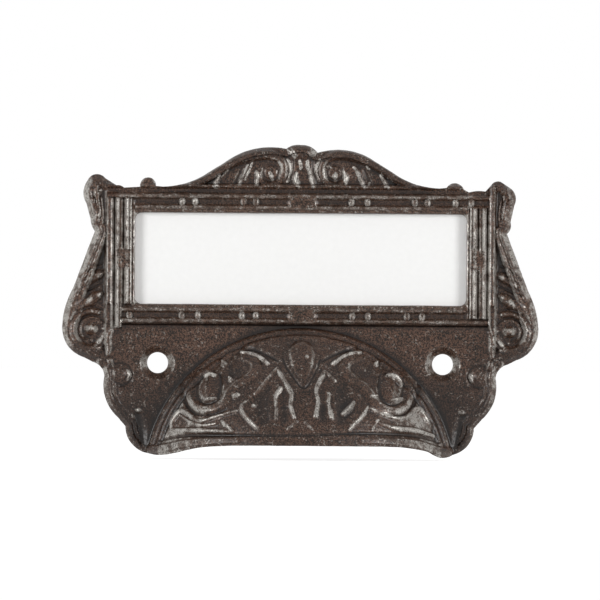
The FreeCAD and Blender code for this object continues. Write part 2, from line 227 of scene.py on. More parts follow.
def seen_directly(tree):
    """One for rays that come straight from the camera, a reflection or glass."""
    path = tree.node("ShaderNodeLightPath")
    rays = [path.out(f"Is {kind} Ray") for kind in ("Camera", "Glossy", "Transmission")]
    return rays[0].math("MAXIMUM", rays[1]).math("MAXIMUM", rays[2])


world = bpy.data.worlds.new("studio")
world.use_nodes = True
world.node_tree.nodes.clear()
sky = Tree(world.node_tree)
strength = seen_directly(sky) * (1 - AMBIENT) + AMBIENT
backdrop = sky.node("ShaderNodeBackground", {}, {"Color": WHITE, "Strength": strength})
sky.node("ShaderNodeOutputWorld", {}, {"Surface": backdrop})
scene.world = world
print("world of strength", AMBIENT, "as a light")

# %% [markdown]
# ## Floor
# A pale floor lies just under the pull and catches a little of its shadow. A plain matt
# floor would look grey under the dim world, so it also glows, towards the camera and in
# reflections only, by what it lacks to white.

# %% Floor
FLOOR_LEVEL, FLOOR_REACH = -0.0202, 3.0
FLOOR_TONE = 0.8
SEEN_TONE = 1.02


def new_finish(name):
    """An empty material and its tree."""
    material = bpy.data.materials.new(name)
    material.use_nodes = True
    material.node_tree.nodes.clear()
    return material, Tree(material.node_tree)


corners = [(-1, -1), (1, -1), (1, 1), (-1, 1)]
floor_mesh = bpy.data.meshes.new("floor")
floor_mesh.from_pydata(
    [(x * FLOOR_REACH, y * FLOOR_REACH, FLOOR_LEVEL) for x, y in corners], [], [(0, 1, 2, 3)])
floor = new_object("floor", floor_mesh)
pale, paint = new_finish("pale_floor")
tone = (FLOOR_TONE, FLOOR_TONE, FLOOR_TONE, 1)
matt = paint.node("ShaderNodeBsdfDiffuse", {}, {"Color": tone})
missing = seen_directly(paint) * (SEEN_TONE - FLOOR_TONE * AMBIENT)
glow = paint.node("ShaderNodeEmission", {}, {"Strength": missing})
mixed = paint.node("ShaderNodeAddShader", {}, {0: matt, 1: glow})
paint.node("ShaderNodeOutputMaterial", {}, {"Surface": mixed})
floor_mesh.materials.append(pale)
print("floor at", FLOOR_LEVEL, "m")

# %% [markdown]
# ## The outline
# Seen from the front the casting is one closed outline, with a window and two screw holes.
# From the ball on the crest down to the tip beside the lip, each side is drawn as lines and
# as arcs through three points. Shoulders and sides are alike, so they are drawn on the right
# and mirrored. Crest and ears differ a little from side to side, so each has its own
# drawing; the left ear is mirrored with the rest. The lip closes the outline below as one
# soft curve. The whole could be one free curve, but lines and arcs are what a pattern maker
# sets out, and their joints stay where they are drawn.

# %% Draw the outline
CREST_RIGHT = [
    [(-0.2, 46.0), (1.8, 45.7), (3.4, 44.4)],
    [(3.4, 44.4), (8.6, 45.05), (15.36, 42.75)],
]
CREST_LEFT = [
    [(-0.2, 46.0), (-2.0, 45.85), (-3.2, 45.2)],
    [(-3.2, 45.2), (-9.2, 45.3), (-15.36, 42.75)],
]
SHOULDER = [
    [(15.36, 42.75), (20.24, 39.67)],
    [(20.24, 39.67), (24.43, 37.8), (29.14, 37.06)],
    [(29.14, 37.06), (30.6, 37.2)],
]
EAR_RIGHT = [
    [(30.6, 37.2), (32.4, 38.2), (34.2, 36.9)],
    [(34.2, 36.9), (35.3, 36.3)],
    [(35.3, 36.3), (37.2, 36.6), (38.8, 36.5)],
    [(38.8, 36.5), (39.5, 37.3), (40.3, 38.2)],
    [(40.3, 38.2), (41.3, 38.65), (42.4, 38.3)],
    [(42.4, 38.3), (44.2, 37.1)],
    [(44.2, 37.1), (45.2, 35.4), (44.9, 33.6)],
    [(44.9, 33.6), (44.1, 30.0)],
    [(44.1, 30.0), (44.1, 28.6), (43.4, 27.6)],
]
EAR_LEFT = [
    [(30.6, 37.2), (32.3, 39.0), (33.9, 37.0)],
    [(33.9, 37.0), (37.3, 36.8)],
    [(37.3, 36.8), (38.0, 37.25), (38.9, 37.3)],
    [(38.9, 37.3), (41.2, 38.7)],
    [(41.2, 38.7), (43.2, 39.6), (45.0, 38.3)],
    [(45.0, 38.3), (45.8, 36.2), (45.2, 33.4)],
    [(45.2, 33.4), (44.3, 30.2)],
    [(44.3, 30.2), (44.1, 29.0), (43.4, 27.6)],
]
SIDE = [
    [(43.4, 27.6), (47.9, 15.6)],
    [(47.9, 15.6), (49.45, 11.8), (50.1, 8.1)],
    [(50.1, 8.1), (49.25, 4.0), (45.5, 1.0)],
    [(45.5, 1.0), (43.7, 0.1)],
    [(43.7, 0.1), (42.2, -0.7), (41.2, -3.0)],
    [(41.2, -3.0), (41.2, -6.53), (38.4, -11.46)],
    [(38.4, -11.46), (36.7, -13.43)],
    [(36.7, -13.43), (35.5, -16.9), (32.6, -18.9)],
]
LIP_RIGHT = [(32.6, -18.9), (31.2, -19.45), (29.8, -19.6), (28.3, -19.1), (27.0, -18.4),
             (25.2, -17.9), (22.8, -17.5), (19.5, -17.25), (12, -17.15), (0, -17.1)]
LIP_LEFT = [(0, -17.1), (-12, -17.15), (-19.4, -17.5), (-23.1, -18.1), (-26, -18.85),
            (-28.3, -19.25), (-30.4, -19.35), (-32.6, -18.9)]
print("strokes", len(CREST_RIGHT + CREST_LEFT + SHOULDER + EAR_RIGHT + EAR_LEFT + SIDE))

# %% Points along the outline
STEP = 0.21
CURVE_PARTS = 12


def arc_through(a, b, c):
    """Evenly spaced points on the circle through three points."""
    a, b, c = (np.array(p, float) for p in (a, b, c))
    lines = 2 * np.array([b - a, c - a])
    centre = np.linalg.solve(lines, [b @ b - a @ a, c @ c - a @ a])
    radius = np.linalg.norm(a - centre)
    first, middle, last = (math.atan2(*(p - centre)[::-1]) for p in (a, b, c))
    turn = (last - first) % math.tau
    if (middle - first) % math.tau > turn:
        turn -= math.tau
    angles = first + turn * np.linspace(0, 1, max(3, round(abs(turn) * radius / STEP) + 1))
    return np.column_stack([centre[0] + radius * np.cos(angles), centre[1] + radius * np.sin(angles)])


def line_points(points):
    """Evenly spaced points along straight stretches."""
    points = np.array(points, float)
    run = np.cumsum(np.linalg.norm(np.diff(points[:, :2], axis=0, prepend=points[:1, :2]), axis=1))
    places = np.linspace(0, run[-1], max(2, round(run[-1] / STEP) + 1))
    return np.column_stack([np.interp(places, run, column) for column in points.T])


def smooth_line(points):
    """Points along a soft curve through the given ones."""
    points = np.array(points, float)
    ends = [2 * points[0] - points[1], *points, 2 * points[-1] - points[-2]]
    rounded = []
    for p, q, r, s in zip(ends, ends[1:], ends[2:], ends[3:]):
        for t in np.linspace(0, 1, CURVE_PARTS, endpoint=False):
            rounded.append(0.5 * (2 * q + (r - p) * t + (2 * p - 5 * q + 4 * r - s) * t**2
                                  + (3 * q - p - 3 * r + s) * t**3))
    return line_points([*rounded, points[-1]])


def trace(strokes):
    """Points along lines of two places and arcs of three."""
    runs = [arc_through(*stroke) if len(stroke) == 3 else line_points(stroke) for stroke in strokes]
    return np.concatenate([run[:-1] for run in runs])


mirror = [[(-x, z) for x, z in stroke] for stroke in SHOULDER + EAR_LEFT + SIDE]
right_edge = trace(CREST_RIGHT + SHOULDER + EAR_RIGHT + SIDE)
left_edge = trace(CREST_LEFT + mirror)
lip = np.concatenate([smooth_line(LIP_RIGHT)[:-1], smooth_line(LIP_LEFT)])
outline = np.concatenate([right_edge, lip, left_edge[:0:-1]])[::-1]
print("outline points", len(outline))

# %% [markdown]
# ## Window, screw holes and the flat sheet
# The front is sculpted as a height above the back at every place of the front view, as a
# pattern maker cuts relief into a board. A fine sheet of triangles fills the outline and
# leaves the window and the holes open. A constrained triangulation keeps their edges exact.
# On the frame the points stand in rows along the reeds, so that the reeds come out straight.

# %% Window and screw holes
HALF_WINDOW, SILL, HEAD, CORNER = 34.9, 12.4, 31.6, 1.4
SCREW_X, BORE = 30.0, 2.2
QUARTER_POINTS = 8


def rectangle(grow, corner):
    """A round-cornered rectangle about the window, clockwise."""
    middle, points = (SILL + HEAD) / 2, []
    reach = (HALF_WINDOW + grow - corner, (HEAD - SILL) / 2 + grow - corner)
    for quarter, (sx, sz) in enumerate([(-1, 1), (1, 1), (1, -1), (-1, -1)]):
        for angle in np.radians(180 - 90 * quarter - np.linspace(0, 90, QUARTER_POINTS)):
            points.append((sx * reach[0] + corner * math.cos(angle),
                           middle + sz * reach[1] + corner * math.sin(angle)))
    return line_points([*points, points[0]])[:-1]


def circle(x, z, radius):
    """A circle, clockwise."""
    angles = -np.linspace(0, math.tau, round(math.tau * radius / STEP), endpoint=False)
    return np.column_stack([x + radius * np.cos(angles), z + radius * np.sin(angles)])


loops = [outline, rectangle(0, CORNER), circle(SCREW_X, 0, BORE), circle(-SCREW_X, 0, BORE)]
print("loop points", [len(loop) for loop in loops])

# %% Places on the sheet
FRAME_REACH = 6.2
ROW, ALONG = 0.16, 0.45
LEFT_RISE, LEFT_DROP = 3.1, 2.6
RIGHT_RISE, RIGHT_DROP, OUTER_REED = 1.6, 2.8, 4.75


def cuts_of_row(z):
    """Where a level line crosses the loops."""
    cuts = []
    for loop in loops:
        after = np.roll(loop, -1, axis=0)
        hit = (loop[:, 1] > z) != (after[:, 1] > z)
        part = (z - loop[hit, 1]) / (after[hit, 1] - loop[hit, 1])
        cuts.extend(loop[hit, 0] + part * (after[hit, 0] - loop[hit, 0]))
    return np.sort(cuts)


def inside(x, z):
    """Whether places of one level line lie in the iron."""
    return np.searchsorted(cuts_of_row(z), x) % 2 == 1


def outside_window(x, z):
    """How far a place lies beside the window, and how far above or below it."""
    return np.abs(x) - HALF_WINDOW, np.maximum(z - HEAD, SILL - z)


def lattice(spacing):
    """Evenly spread places over the outline's box."""
    low, high = outline.min(axis=0), outline.max(axis=0)
    rows = [(z, np.arange(low[0] + row % 2 * spacing / 2, high[0], spacing))
            for row, z in enumerate(np.arange(low[1], high[1], spacing * math.sqrt(3) / 2))]
    return np.concatenate([np.column_stack([row_x, np.full_like(row_x, z)]) for z, row_x in rows])


def on_upright(x, z):
    """Whether a place of the frame is on an upright; some reeds run on into the corners."""
    beside, level = outside_window(x, z)
    left = np.where(z > HEAD, level < LEFT_RISE, beside > LEFT_DROP)
    right = (beside > OUTER_REED) | (level < np.where(z > HEAD, RIGHT_RISE, RIGHT_DROP))
    return (beside > 0) & ((level < 0) | np.where(x < 0, left, right))


def reed_rows():
    """Places in rows along the reeds of the uprights and the rails."""
    reach = np.arange(ROW, FRAME_REACH, ROW)
    tall = np.arange(SILL - FRAME_REACH, HEAD + FRAME_REACH, ALONG)
    wide = np.arange(-HALF_WINDOW - FRAME_REACH, HALF_WINDOW + FRAME_REACH, ALONG)
    columns = np.concatenate([-HALF_WINDOW - reach, HALF_WINDOW + reach])
    rows = np.concatenate([SILL - reach, HEAD + reach])
    uprights, rails = (np.stack(np.meshgrid(*grid), axis=-1).reshape(-1, 2)
                       for grid in ((columns, tall), (wide, rows)))
    return np.concatenate([uprights[on_upright(*uprights.T)], rails[~on_upright(*rails.T)]])


def on_iron(points, lines, clear):
    """Those places that lie in the iron and clear of the drawn lines."""
    near = kdtree.KDTree(len(lines))
    for index, (x, z) in enumerate(lines):
        near.insert((x, z, 0), index)
    near.balance()
    kept = []
    for z in np.unique(points[:, 1]):
        row = points[points[:, 1] == z, 0]
        kept += [(x, z) for x in row[inside(row, z)] if near.find((x, z, 0))[2] > clear]
    return np.array(kept)


print("places along the reeds", len(reed_rows()))


# %% Fill the outline with fine triangles
CLEAR = 0.6
MERGE = 1e-7


def fill(spacing, rings=(), arcs=(), reeded=False):
    """Triangles over the iron: the points, loops first, and the faces."""
    fixed = [*loops, *rings, *arcs]
    drawn = np.concatenate(fixed)
    spread = lattice(spacing)
    rows = []
    if reeded:
        spread = spread[np.max(outside_window(*spread.T), axis=0) > FRAME_REACH]
        rows = [on_iron(reed_rows(), drawn, ROW / 2)]
    points = np.concatenate([*fixed, *rows, on_iron(spread, drawn, CLEAR * spacing)])
    edges, start = [], 0
    for number, line in enumerate(fixed):
        count = len(line)
        closed = number < len(loops) + len(rings)
        links = count if closed else count - 1
        edges += [(start + i, start + (i + 1) % count) for i in range(links)]
        start += count
    rim = sum(len(loop) for loop in loops)
    sites = [Vector(p) for p in points]
    _, _, faces, origin, _, _ = delaunay_2d_cdt(sites, edges, [], 0, MERGE)
    source = [min(ids) for ids in origin]
    kept = []
    for face in faces:
        ids = [source[i] for i in face]
        if max(ids) < rim:
            x, z = points[ids].mean(axis=0)
            if not inside(np.array([x]), z)[0]:
                continue
        kept.append(ids)
    return points, np.array(kept)


front_points, front_faces = fill(STEP, reeded=True)
print("front sheet", len(front_points), "points", len(front_faces), "triangles")

# %% [markdown]
# ## Lines that the relief follows
# Scrolls, leaves and fillets are flat-topped bands along a drawn line, and dark grooves are
# the same thing cut downwards. Each line is a list of places in the front view with the
# band's half width there. Bands of one kind share a height for their width and the share
# of it that is flat, so that a wide scroll stands higher than the thin leaf beside it.

# %% Helpers for drawn lines
HAIR = 0.01


def both(*lines, shift=0.0):
    """Lines of the right half and their mirror images."""
    left = [[(-x, z, w) for x, z, w in line] for line in lines]
    return [[(x + shift, z, w) for x, z, w in line] for line in [*lines, *left]]


def spot(x, z, radius):
    """A round boss, as a very short line."""
    return [(x - HAIR, z, radius), (x + HAIR, z, radius)]


def ring(x, z, radius, first, last, width, count=14):
    """Part of a circle, by its first and last angle."""
    turns = np.radians(np.linspace(first, last, count))
    return [(x + radius * math.cos(a), z + radius * math.sin(a), width) for a in turns]


print("a ring has", len(ring(0, 0, 1, 0, 90, 1)), "places")

# %% [markdown]
# ## Ornament of the hood
# An arch edged by two ribs bounds the hood. On its ball lie two large scrolls that curl
# round an eye, a shield between them, leaves that hang from it, and a band along the lip.
# The scrolls are alike on both sides; the thin leaves and beads were cut freely, so they are
# drawn one by one.

# %% Lines of the hood
AXIS, ARCH, BALL, SETBACK = -25.36, 32.76, 37.24, 15.31
ARCH_END = 13.5
OUTER_RIB, INNER_RIB = ARCH - 0.6, ARCH - 1.85
HOOD = {
    # name: height for a half width of one, flat share, lines
    "arch_edging": (0.7, 0.25, [ring(0, AXIS, OUTER_RIB, ARCH_END, 180 - ARCH_END, 0.6),
                                ring(0, AXIS, INNER_RIB, ARCH_END + 1, 179 - ARCH_END, 0.5)]),
    # thin lines on the arch ribs; they chiefly carry a painted highlight
    "arch_shine": (0.1, 0.2, [
        ring(0, AXIS, OUTER_RIB, ARCH_END + 2, 44, 0.4),
        ring(0, AXIS, INNER_RIB, ARCH_END + 2, 40, 0.3),
        ring(0, AXIS, OUTER_RIB, 140, 178 - ARCH_END, 0.4),
        ring(0, AXIS, INNER_RIB, 146, 178 - ARCH_END, 0.3)]),
    "hood_scrolls": (0.42, 0.3, both([
        (13.2, 1.3, 0.8), (11.4, 1.1, 1.2), (9.6, 0.2, 1.6), (9.4, -1.6, 1.5), (11.0, -3.3, 1.4),
        (13.2, -4.7, 1.35), (14.7, -6.4, 1.35), (15.9, -8.2, 1.25), (18.0, -9.4, 1.2),
        (20.4, -9.6, 1.15), (22.4, -8.4, 1.1), (23.2, -6.2, 1.05), (22.6, -4.0, 1.0),
        (21.0, -2.2, 0.9), (19.0, -1.6, 0.7)])),
    "hood_eyes": (0.34, 0.1, both([(18.9, -3.6, 1.5), (19.0, -5.3, 1.95), (19.1, -7.0, 1.5)])),
    "scroll_crests": (1.5, 0.2, [
        [(-12.2, 2.0, 0.5), (-9.8, 1.7, 0.55), (-8.0, 0.9, 0.55), (-6.6, -0.1, 0.45)],
        [(6.9, 0.0, 0.5), (8.4, 1.0, 0.55), (10.4, 1.9, 0.55), (12.6, 2.2, 0.45)]]),
    "hood_beads": (1.7, 0.1, [
        [(-19.9, -2.9, 0.4), (-18.6, -2.5, 0.55), (-17.4, -2.7, 0.45)],
        [(-20.2, -8.0, 0.35), (-19.0, -7.7, 0.5), (-17.5, -7.3, 0.35)],
        [(18.2, -2.4, 0.5), (19.8, -3.0, 0.75), (21.3, -4.3, 0.5)],
        [(18.8, -7.6, 0.4), (20.2, -7.6, 0.7), (21.4, -7.2, 0.4)],
        spot(1.4, 1.1, 0.6), spot(15.9, 0.0, 0.6), spot(-15.9, -0.2, 0.75), spot(-14.6, -3.3, 0.6),
        [(-13.7, -7.0, 0.55), (-12.9, -6.6, 0.6)], [(14.9, -6.9, 0.6), (15.9, -6.9, 0.6)],
        spot(-9.6, -8.8, 0.55), [(9.1, -10.3, 0.6), (10.3, -9.2, 0.85), (11.2, -8.0, 0.5)]]),
    "shield": (0.2, 0.6, [[(0.3, 2.0, 3.1), (0.5, -0.4, 2.6), (0.8, -3.2, 0.9)]]),
    "hood_leaves": (0.85, 0.25, [
        [(-4.8, -1.0, 0.44), (-3.3, -3.4, 0.56), (-1.8, -6.2, 0.56), (-1.9, -8.6, 0.48),
         (-1.1, -11.2, 0.48)],
        [(5.1, -1.6, 0.52), (4.1, -3.6, 0.56), (3.4, -5.6, 0.52), (3.8, -8.0, 0.48),
         (3.3, -10.9, 0.56)],
        [(-5.0, -1.2, 0.4), (-7.0, -3.5, 0.4), (-9.3, -6.3, 0.36)],
        [(5.5, -1.8, 0.4), (7.3, -3.5, 0.44)],
        [(-4.0, -5.1, 0.56), (-5.0, -6.9, 0.52), (-4.9, -9.0, 0.4), (-4.9, -11.5, 0.4)],
        [(6.0, -6.0, 0.36), (6.1, -8.4, 0.4), (6.7, -11.2, 0.48)],
        [(-11.2, -8.0, 0.4), (-12.2, -9.4, 0.56), (-11.0, -11.3, 0.56), (-8.4, -13.9, 0.4)],
        [(14.1, -8.9, 0.4), (13.1, -10.7, 0.52), (11.4, -12.4, 0.48), (10.2, -13.8, 0.32)],
        [(-26.9, -13.8, 0.5), (-26.6, -12.0, 0.6), (-25.0, -10.2, 0.7), (-23.7, -10.5, 0.7),
         (-21.6, -12.0, 0.6), (-19.6, -11.9, 0.5), (-17.6, -11.2, 0.45), (-15.0, -10.4, 0.4),
         (-12.6, -9.8, 0.32)],
        [(-24.7, -11.2, 0.35), (-22.7, -12.4, 0.4), (-20.2, -13.0, 0.4), (-17.4, -12.6, 0.35)],
        [(14.7, -9.2, 0.44), (17.6, -10.4, 0.56), (20.5, -11.3, 0.56), (22.6, -10.8, 0.64),
         (24.2, -9.4, 0.8), (25.7, -10.0, 0.8), (26.9, -11.6, 0.64), (28.0, -13.4, 0.4)],
        [(-26.8, -14.1, 0.5), (-23.6, -14.1, 0.65), (-19.6, -14.1, 0.65), (-14.2, -14.3, 0.4)],
        [(16.4, -12.2, 0.4), (20.0, -13.4, 0.72), (24.0, -13.8, 0.72), (28.2, -15.0, 0.48)],
        [(-15.9, -12.3, 0.48), (-14.0, -14.1, 0.4)],
        [(16.3, -11.7, 0.48), (15.1, -13.4, 0.4)],
        [(-0.6, -12.0, 0.4), (-2.4, -13.6, 0.4)], [(1.2, -12.2, 0.4), (2.6, -13.7, 0.4)]]),
    "lip_band": (0.4, 0.5, [
        [(-31.5, -18.2, 1.0), (-28.5, -18.0, 1.1), (-24.0, -17.0, 1.1), (-18.0, -16.3, 1.0),
         (-13.0, -16.1, 0.8)],
        [(31.5, -18.2, 1.0), (28.8, -18.0, 1.1), (24.0, -16.6, 1.1), (18.0, -16.1, 1.0),
         (13.0, -16.0, 0.8)]]),
}
print("hood lines", {name: len(lines) for name, (_, _, lines) in HOOD.items()})

# %% [markdown]
# ## Ornament of the crest
# Two long scrolls climb from the shoulders to a ball in the middle and curl back below it.
# They are alike, so one is drawn and mirrored. Thin upright leaves fill the field between
# them; they were cut freely and are drawn one by one.

# %% Lines of the crest
CREST_SHIFT = 0.35
CREST = {
    "crest_rim": (0.62, 0.3, both([
        (26.8, 37.1, 0.5), (23.6, 37.7, 0.8), (20.2, 38.9, 1.0), (17.0, 40.9, 1.1), (13.6, 42.6, 1.25),
        (10.2, 43.7, 1.4), (7.6, 44.0, 1.4), (5.6, 43.5, 1.2), (4.3, 42.3, 0.9), (3.9, 40.7, 0.8),
        (4.3, 39.0, 0.8), (5.5, 37.9, 0.7), (7.2, 37.6, 0.6), (8.8, 38.3, 0.65), (9.2, 39.6, 0.55),
        (8.7, 40.6, 0.4)], shift=CREST_SHIFT)),
    "crest_leaves": (0.9, 0.2, [
        [(-2.9, 43.0, 0.35), (-2.3, 41.4, 0.4), (-2.3, 40.0, 0.4), (-2.9, 38.2, 0.35)],
        [(-0.4, 42.8, 0.35), (-0.1, 41.6, 0.4), (-0.2, 40.8, 0.25)],
        [(-1.0, 40.2, 0.35), (-1.2, 39.0, 0.65), (-0.9, 37.9, 0.8), (-0.6, 37.2, 0.5)],
        [(1.3, 42.8, 0.35), (1.3, 41.5, 0.45), (1.9, 40.0, 0.45), (2.2, 38.6, 0.55),
         (2.6, 37.1, 0.45)],
        [(3.9, 42.9, 0.4), (3.3, 41.6, 0.45), (3.1, 40.4, 0.4), (3.8, 38.5, 0.35)],
        [(-4.8, 42.5, 0.4), (-4.1, 41.4, 0.45), (-4.1, 40.4, 0.45), (-4.6, 39.4, 0.35)],
        [(5.4, 42.6, 0.35), (4.8, 41.6, 0.5), (4.7, 40.4, 0.45), (5.1, 39.2, 0.35)],
        [(-6.6, 40.2, 0.35), (-6.3, 39.4, 0.5), (-6.1, 38.6, 0.35)],
        [(7.2, 40.2, 0.35), (7.1, 39.5, 0.65), (7.2, 38.6, 0.35)],
        [(-9.4, 40.3, 0.5), (-9.2, 39.0, 0.65), (-9.4, 37.5, 0.5)],
        [(8.9, 40.4, 0.4), (9.3, 39.2, 0.55), (9.4, 37.8, 0.4)],
        [(-11.3, 41.7, 0.35), (-12.2, 39.8, 0.4), (-13.0, 37.6, 0.4)],
        [(-10.2, 42.8, 0.3), (-10.9, 41.0, 0.35), (-11.9, 38.6, 0.35)],
        [(11.1, 41.4, 0.4), (12.0, 40.2, 0.55), (12.9, 38.0, 0.55), (13.4, 36.9, 0.35)],
        [(-17.3, 39.6, 0.45), (-17.9, 38.2, 0.7), (-18.1, 37.0, 0.5)],
        [(-15.4, 40.7, 0.3), (-16.8, 39.2, 0.35)],
        [(16.8, 39.7, 0.4), (17.5, 38.4, 0.55), (18.3, 37.0, 0.45)],
        [(13.7, 41.7, 0.35), (14.3, 41.1, 0.45)], [(14.3, 38.2, 0.35), (13.9, 37.1, 0.3)],
        [(5.6, 41.5, 0.5), (6.2, 41.4, 0.35)]]),
    "crest_ball": (0.5, 0.1, [[(-1.0, 44.5, 2.0), (0.9, 44.5, 2.0)]]),
    "ball_foot": (0.9, 0.2, [
        [(-2.8, 45.0, 0.4), (-1.4, 43.4, 0.45)], [(-1.8, 44.9, 0.4), (-1.0, 43.7, 0.4)],
        spot(2.2, 44.2, 0.9)]),
}
print("crest lines", {name: len(lines) for name, (_, _, lines) in CREST.items()})

# %% [markdown]
# ## Ornament of the sides
# Beside the frame a bar runs down to a round scroll, with two leaves and small beads. Below
# the scroll a boss and a wider swelling rise on each cheek of the plate, and lumps of
# foliage fill the ears. Both sides are alike, so the right one is drawn and mirrored.

# %% Lines of the sides
SIDES = {
    "side_leaves": (0.7, 0.1, both(
        [(46.4, 16.0, 0.5), (44.6, 17.1, 1.2), (42.5, 18.5, 1.3), (41.8, 18.9, 0.9)],
        [(46.6, 11.0, 0.5), (44.9, 12.4, 1.3), (43.0, 13.9, 1.35), (42.2, 14.5, 0.9)],
        [(41.3, 6.0, 0.7), (41.9, 4.6, 1.0), (43.2, 3.5, 0.8)],
        spot(44.0, 7.0, 1.6))),
    "leaf_beads": (0.9, 0.1, both(
        spot(42.4, 18.3, 0.65), spot(42.5, 14.2, 0.6), [(45.2, 12.4, 0.4), (44.2, 13.4, 0.65)],
        spot(44.1, 7.2, 0.7), spot(41.4, 7.1, 0.45),
        [(41.5, 5.4, 0.4), (42.3, 4.4, 0.6), (42.9, 3.6, 0.35)],
        [(36.4, -1.6, 0.4), (35.9, -2.6, 0.65), (36.3, -3.6, 0.4)], spot(34.0, -10.1, 0.8))),
    "cheek_bosses": (0.36, 0.1, both(spot(37.8, -2.5, 2.2))),
    "cheek_swells": (0.16, 0.1, both(spot(36.6, -6.9, 2.9))),
    "side_rings": (0.7, 0.2, both(
        ring(43.9, 6.9, 3.85, 110, -140, 0.7),
        ring(44.0, 7.0, 2.4, 110, -90, 0.4),
        [(39.8, 6.9, 0.6), (40.4, 5.2, 0.85), (40.2, 3.2, 0.7), (40.4, 1.6, 0.5)],
        [(42.3, 0.3, 0.75), (42.1, -0.9, 0.75)],
        [(40.1, 0.4, 0.75), (39.9, -0.8, 0.75)],
        [(39.2, -4.8, 0.35), (38.9, -6.6, 0.45), (38.0, -8.2, 0.35)])),
    "ear_lumps": (0.8, 0.1, both(
        [(43.2, 37.0, 1.0), (43.0, 35.2, 1.2), (42.6, 33.0, 1.0), (42.4, 31.0, 0.9)],
        spot(43.5, 34.2, 0.7), spot(42.6, 36.2, 0.8),
        [(42.2, 34.6, 0.45), (41.8, 31.5, 0.6), (42.0, 29.0, 0.5)])),
}
RELIEF = HOOD | CREST | SIDES
print("side lines", {name: len(lines) for name, (_, _, lines) in SIDES.items()})

# %% [markdown]
# ## Grooves
# Dark lines set the scrolls off from the ground. They are drawn in the same way and cut
# down instead of raised up: narrow ones beside the ribs and round the scrolls, wide shallow
# ones between the leaves. Real depth shades itself from every side, which paint would not.

# %% Lines of the grooves
EDGING_GROOVE = ARCH - 2.35
GROOVES = {
    "hood_grooves": (0.7, 0.2, [
        ring(0, AXIS, EDGING_GROOVE, ARCH_END + 4, 50, 0.5),
        ring(0, AXIS, EDGING_GROOVE, 130, 176 - ARCH_END, 0.5),
        *both([(4.6, 0.6, 0.4), (6.4, 1.6, 0.5), (9.4, 2.9, 0.55), (12.4, 3.2, 0.55),
               (15.2, 2.3, 0.55), (16.8, 0.6, 0.5)],
              [(24.6, -4.4, 0.5), (24.6, -6.6, 0.5), (23.6, -9.0, 0.5), (21.6, -10.6, 0.4),
               (18.4, -10.6, 0.35), (15.4, -9.6, 0.35)]),
        [(-3.6, 1.2, 0.4), (-2.6, -1.0, 0.4), (0.8, -5.0, 0.4), (3.3, -1.6, 0.4), (4.2, 1.0, 0.4)],
        [(-29.0, -16.1, 0.45), (-24.0, -15.2, 0.5), (-14.0, -14.95, 0.5), (0.0, -14.9, 0.4),
         (14.0, -14.4, 0.5), (24.0, -14.9, 0.5), (29.4, -16.2, 0.45)]]),
    "eye_hollows": (0.35, 0.1, both(
        [(16.8, -2.4, 0.6), (16.6, -5.0, 0.7), (17.2, -7.2, 0.7), (19.0, -8.5, 0.6), (20.9, -7.7, 0.6),
         (21.6, -5.4, 0.6), (20.8, -3.0, 0.5)])),
    "hood_hollows": (0.15, 0.1, [
        [(-6.6, -5.0, 1.4), (-8.0, -8.4, 2.8), (-7.4, -11.4, 2.2)],
        [(-3.4, -6.0, 1.0), (-3.2, -11.6, 1.6)], [(4.9, -5.0, 0.9), (5.0, -11.4, 1.5)],
        [(8.8, -5.6, 2.0), (9.4, -8.4, 2.8), (8.8, -11.6, 2.0)],
        *both([(14.6, -0.6, 1.3), (14.2, -2.0, 1.5), (12.8, -1.6, 1.2)])]),
    "crest_grooves": (0.6, 0.2, both(
        [(2.1, 42.8, 0.3), (2.1, 41.2, 0.35), (2.5, 39.6, 0.35), (3.2, 37.6, 0.35)],
        ring(6.75, 40.2, 1.65, 150, -190, 0.5),
        [(12.9, 40.8, 0.5), (13.8, 38.8, 0.7), (14.6, 37.4, 0.5)], shift=CREST_SHIFT)),
    "side_grooves": (0.7, 0.2, both(
        ring(43.9, 6.9, 4.8, 120, -60, 0.35), ring(43.9, 6.9, 3.0, 150, -60, 0.4),
        [(46.8, 14.4, 0.4), (44.0, 15.5, 0.4), (41.8, 16.6, 0.4)],
        [(46.2, 18.0, 0.4), (43.4, 20.3, 0.4), (41.9, 20.8, 0.4)],
        ring(37.8, -2.5, 2.4, 60, 270, 0.4))),
    "cheek_hollows": (0.3, 0.1, both([(34.2, -11.2, 1.4), (33.6, -14.0, 1.8), (33.0, -16.8, 1.2)])),
}
print("groove lines", {name: len(lines) for name, (_, _, lines) in GROOVES.items()})

# %% [markdown]
# ## Raising bands along the lines
# A band swept along every line would have to be joined to the plate, one by one. Here one
# Geometry Nodes tree does the work for all of them: it finds how far each point of the sheet
# is from the nearest line, turns that into a rounded band, and keeps the higher of the band
# and what is stored already. It serves the relief, the grooves, and the thin strokes that
# get a painted highlight. A second tree only stores each point's distance from the outline.

# %% Trees that measure and raise
def geometry_tree(name, inputs):
    """A Geometry Nodes tree with a geometry in and out and the named inputs."""
    group = bpy.data.node_groups.new(name, "GeometryNodeTree")
    face = group.interface
    face.new_socket("Geometry", in_out="OUTPUT", socket_type="NodeSocketGeometry")
    for label, kind in (("Geometry", "Geometry"), *inputs):
        face.new_socket(label, in_out="INPUT", socket_type=f"NodeSocket{kind}")
    tree = Tree(group)
    start = tree.node("NodeGroupInput").node
    return tree, {socket.name: Wire(tree, start, socket) for socket in start.outputs}


def close_tree(tree, geometry):
    """Leads the finished geometry out of the tree."""
    tree.node("NodeGroupOutput", {}, {0: geometry})
    return tree.tree


def distance_nodes(tree, lines):
    """The lines as a mesh, and each point's distance from them."""
    shape = tree.node("GeometryNodeObjectInfo", {}, {"Object": lines}).out("Geometry")
    widths = tree.keep(shape, "half_width", tree.node("GeometryNodeInputRadius"))
    wires = tree.node("GeometryNodeCurveToMesh", {}, {"Curve": widths})
    near = tree.node("GeometryNodeProximity", {"target_element": "EDGES"}, {"Target": wires})
    return wires, near.out("Distance")


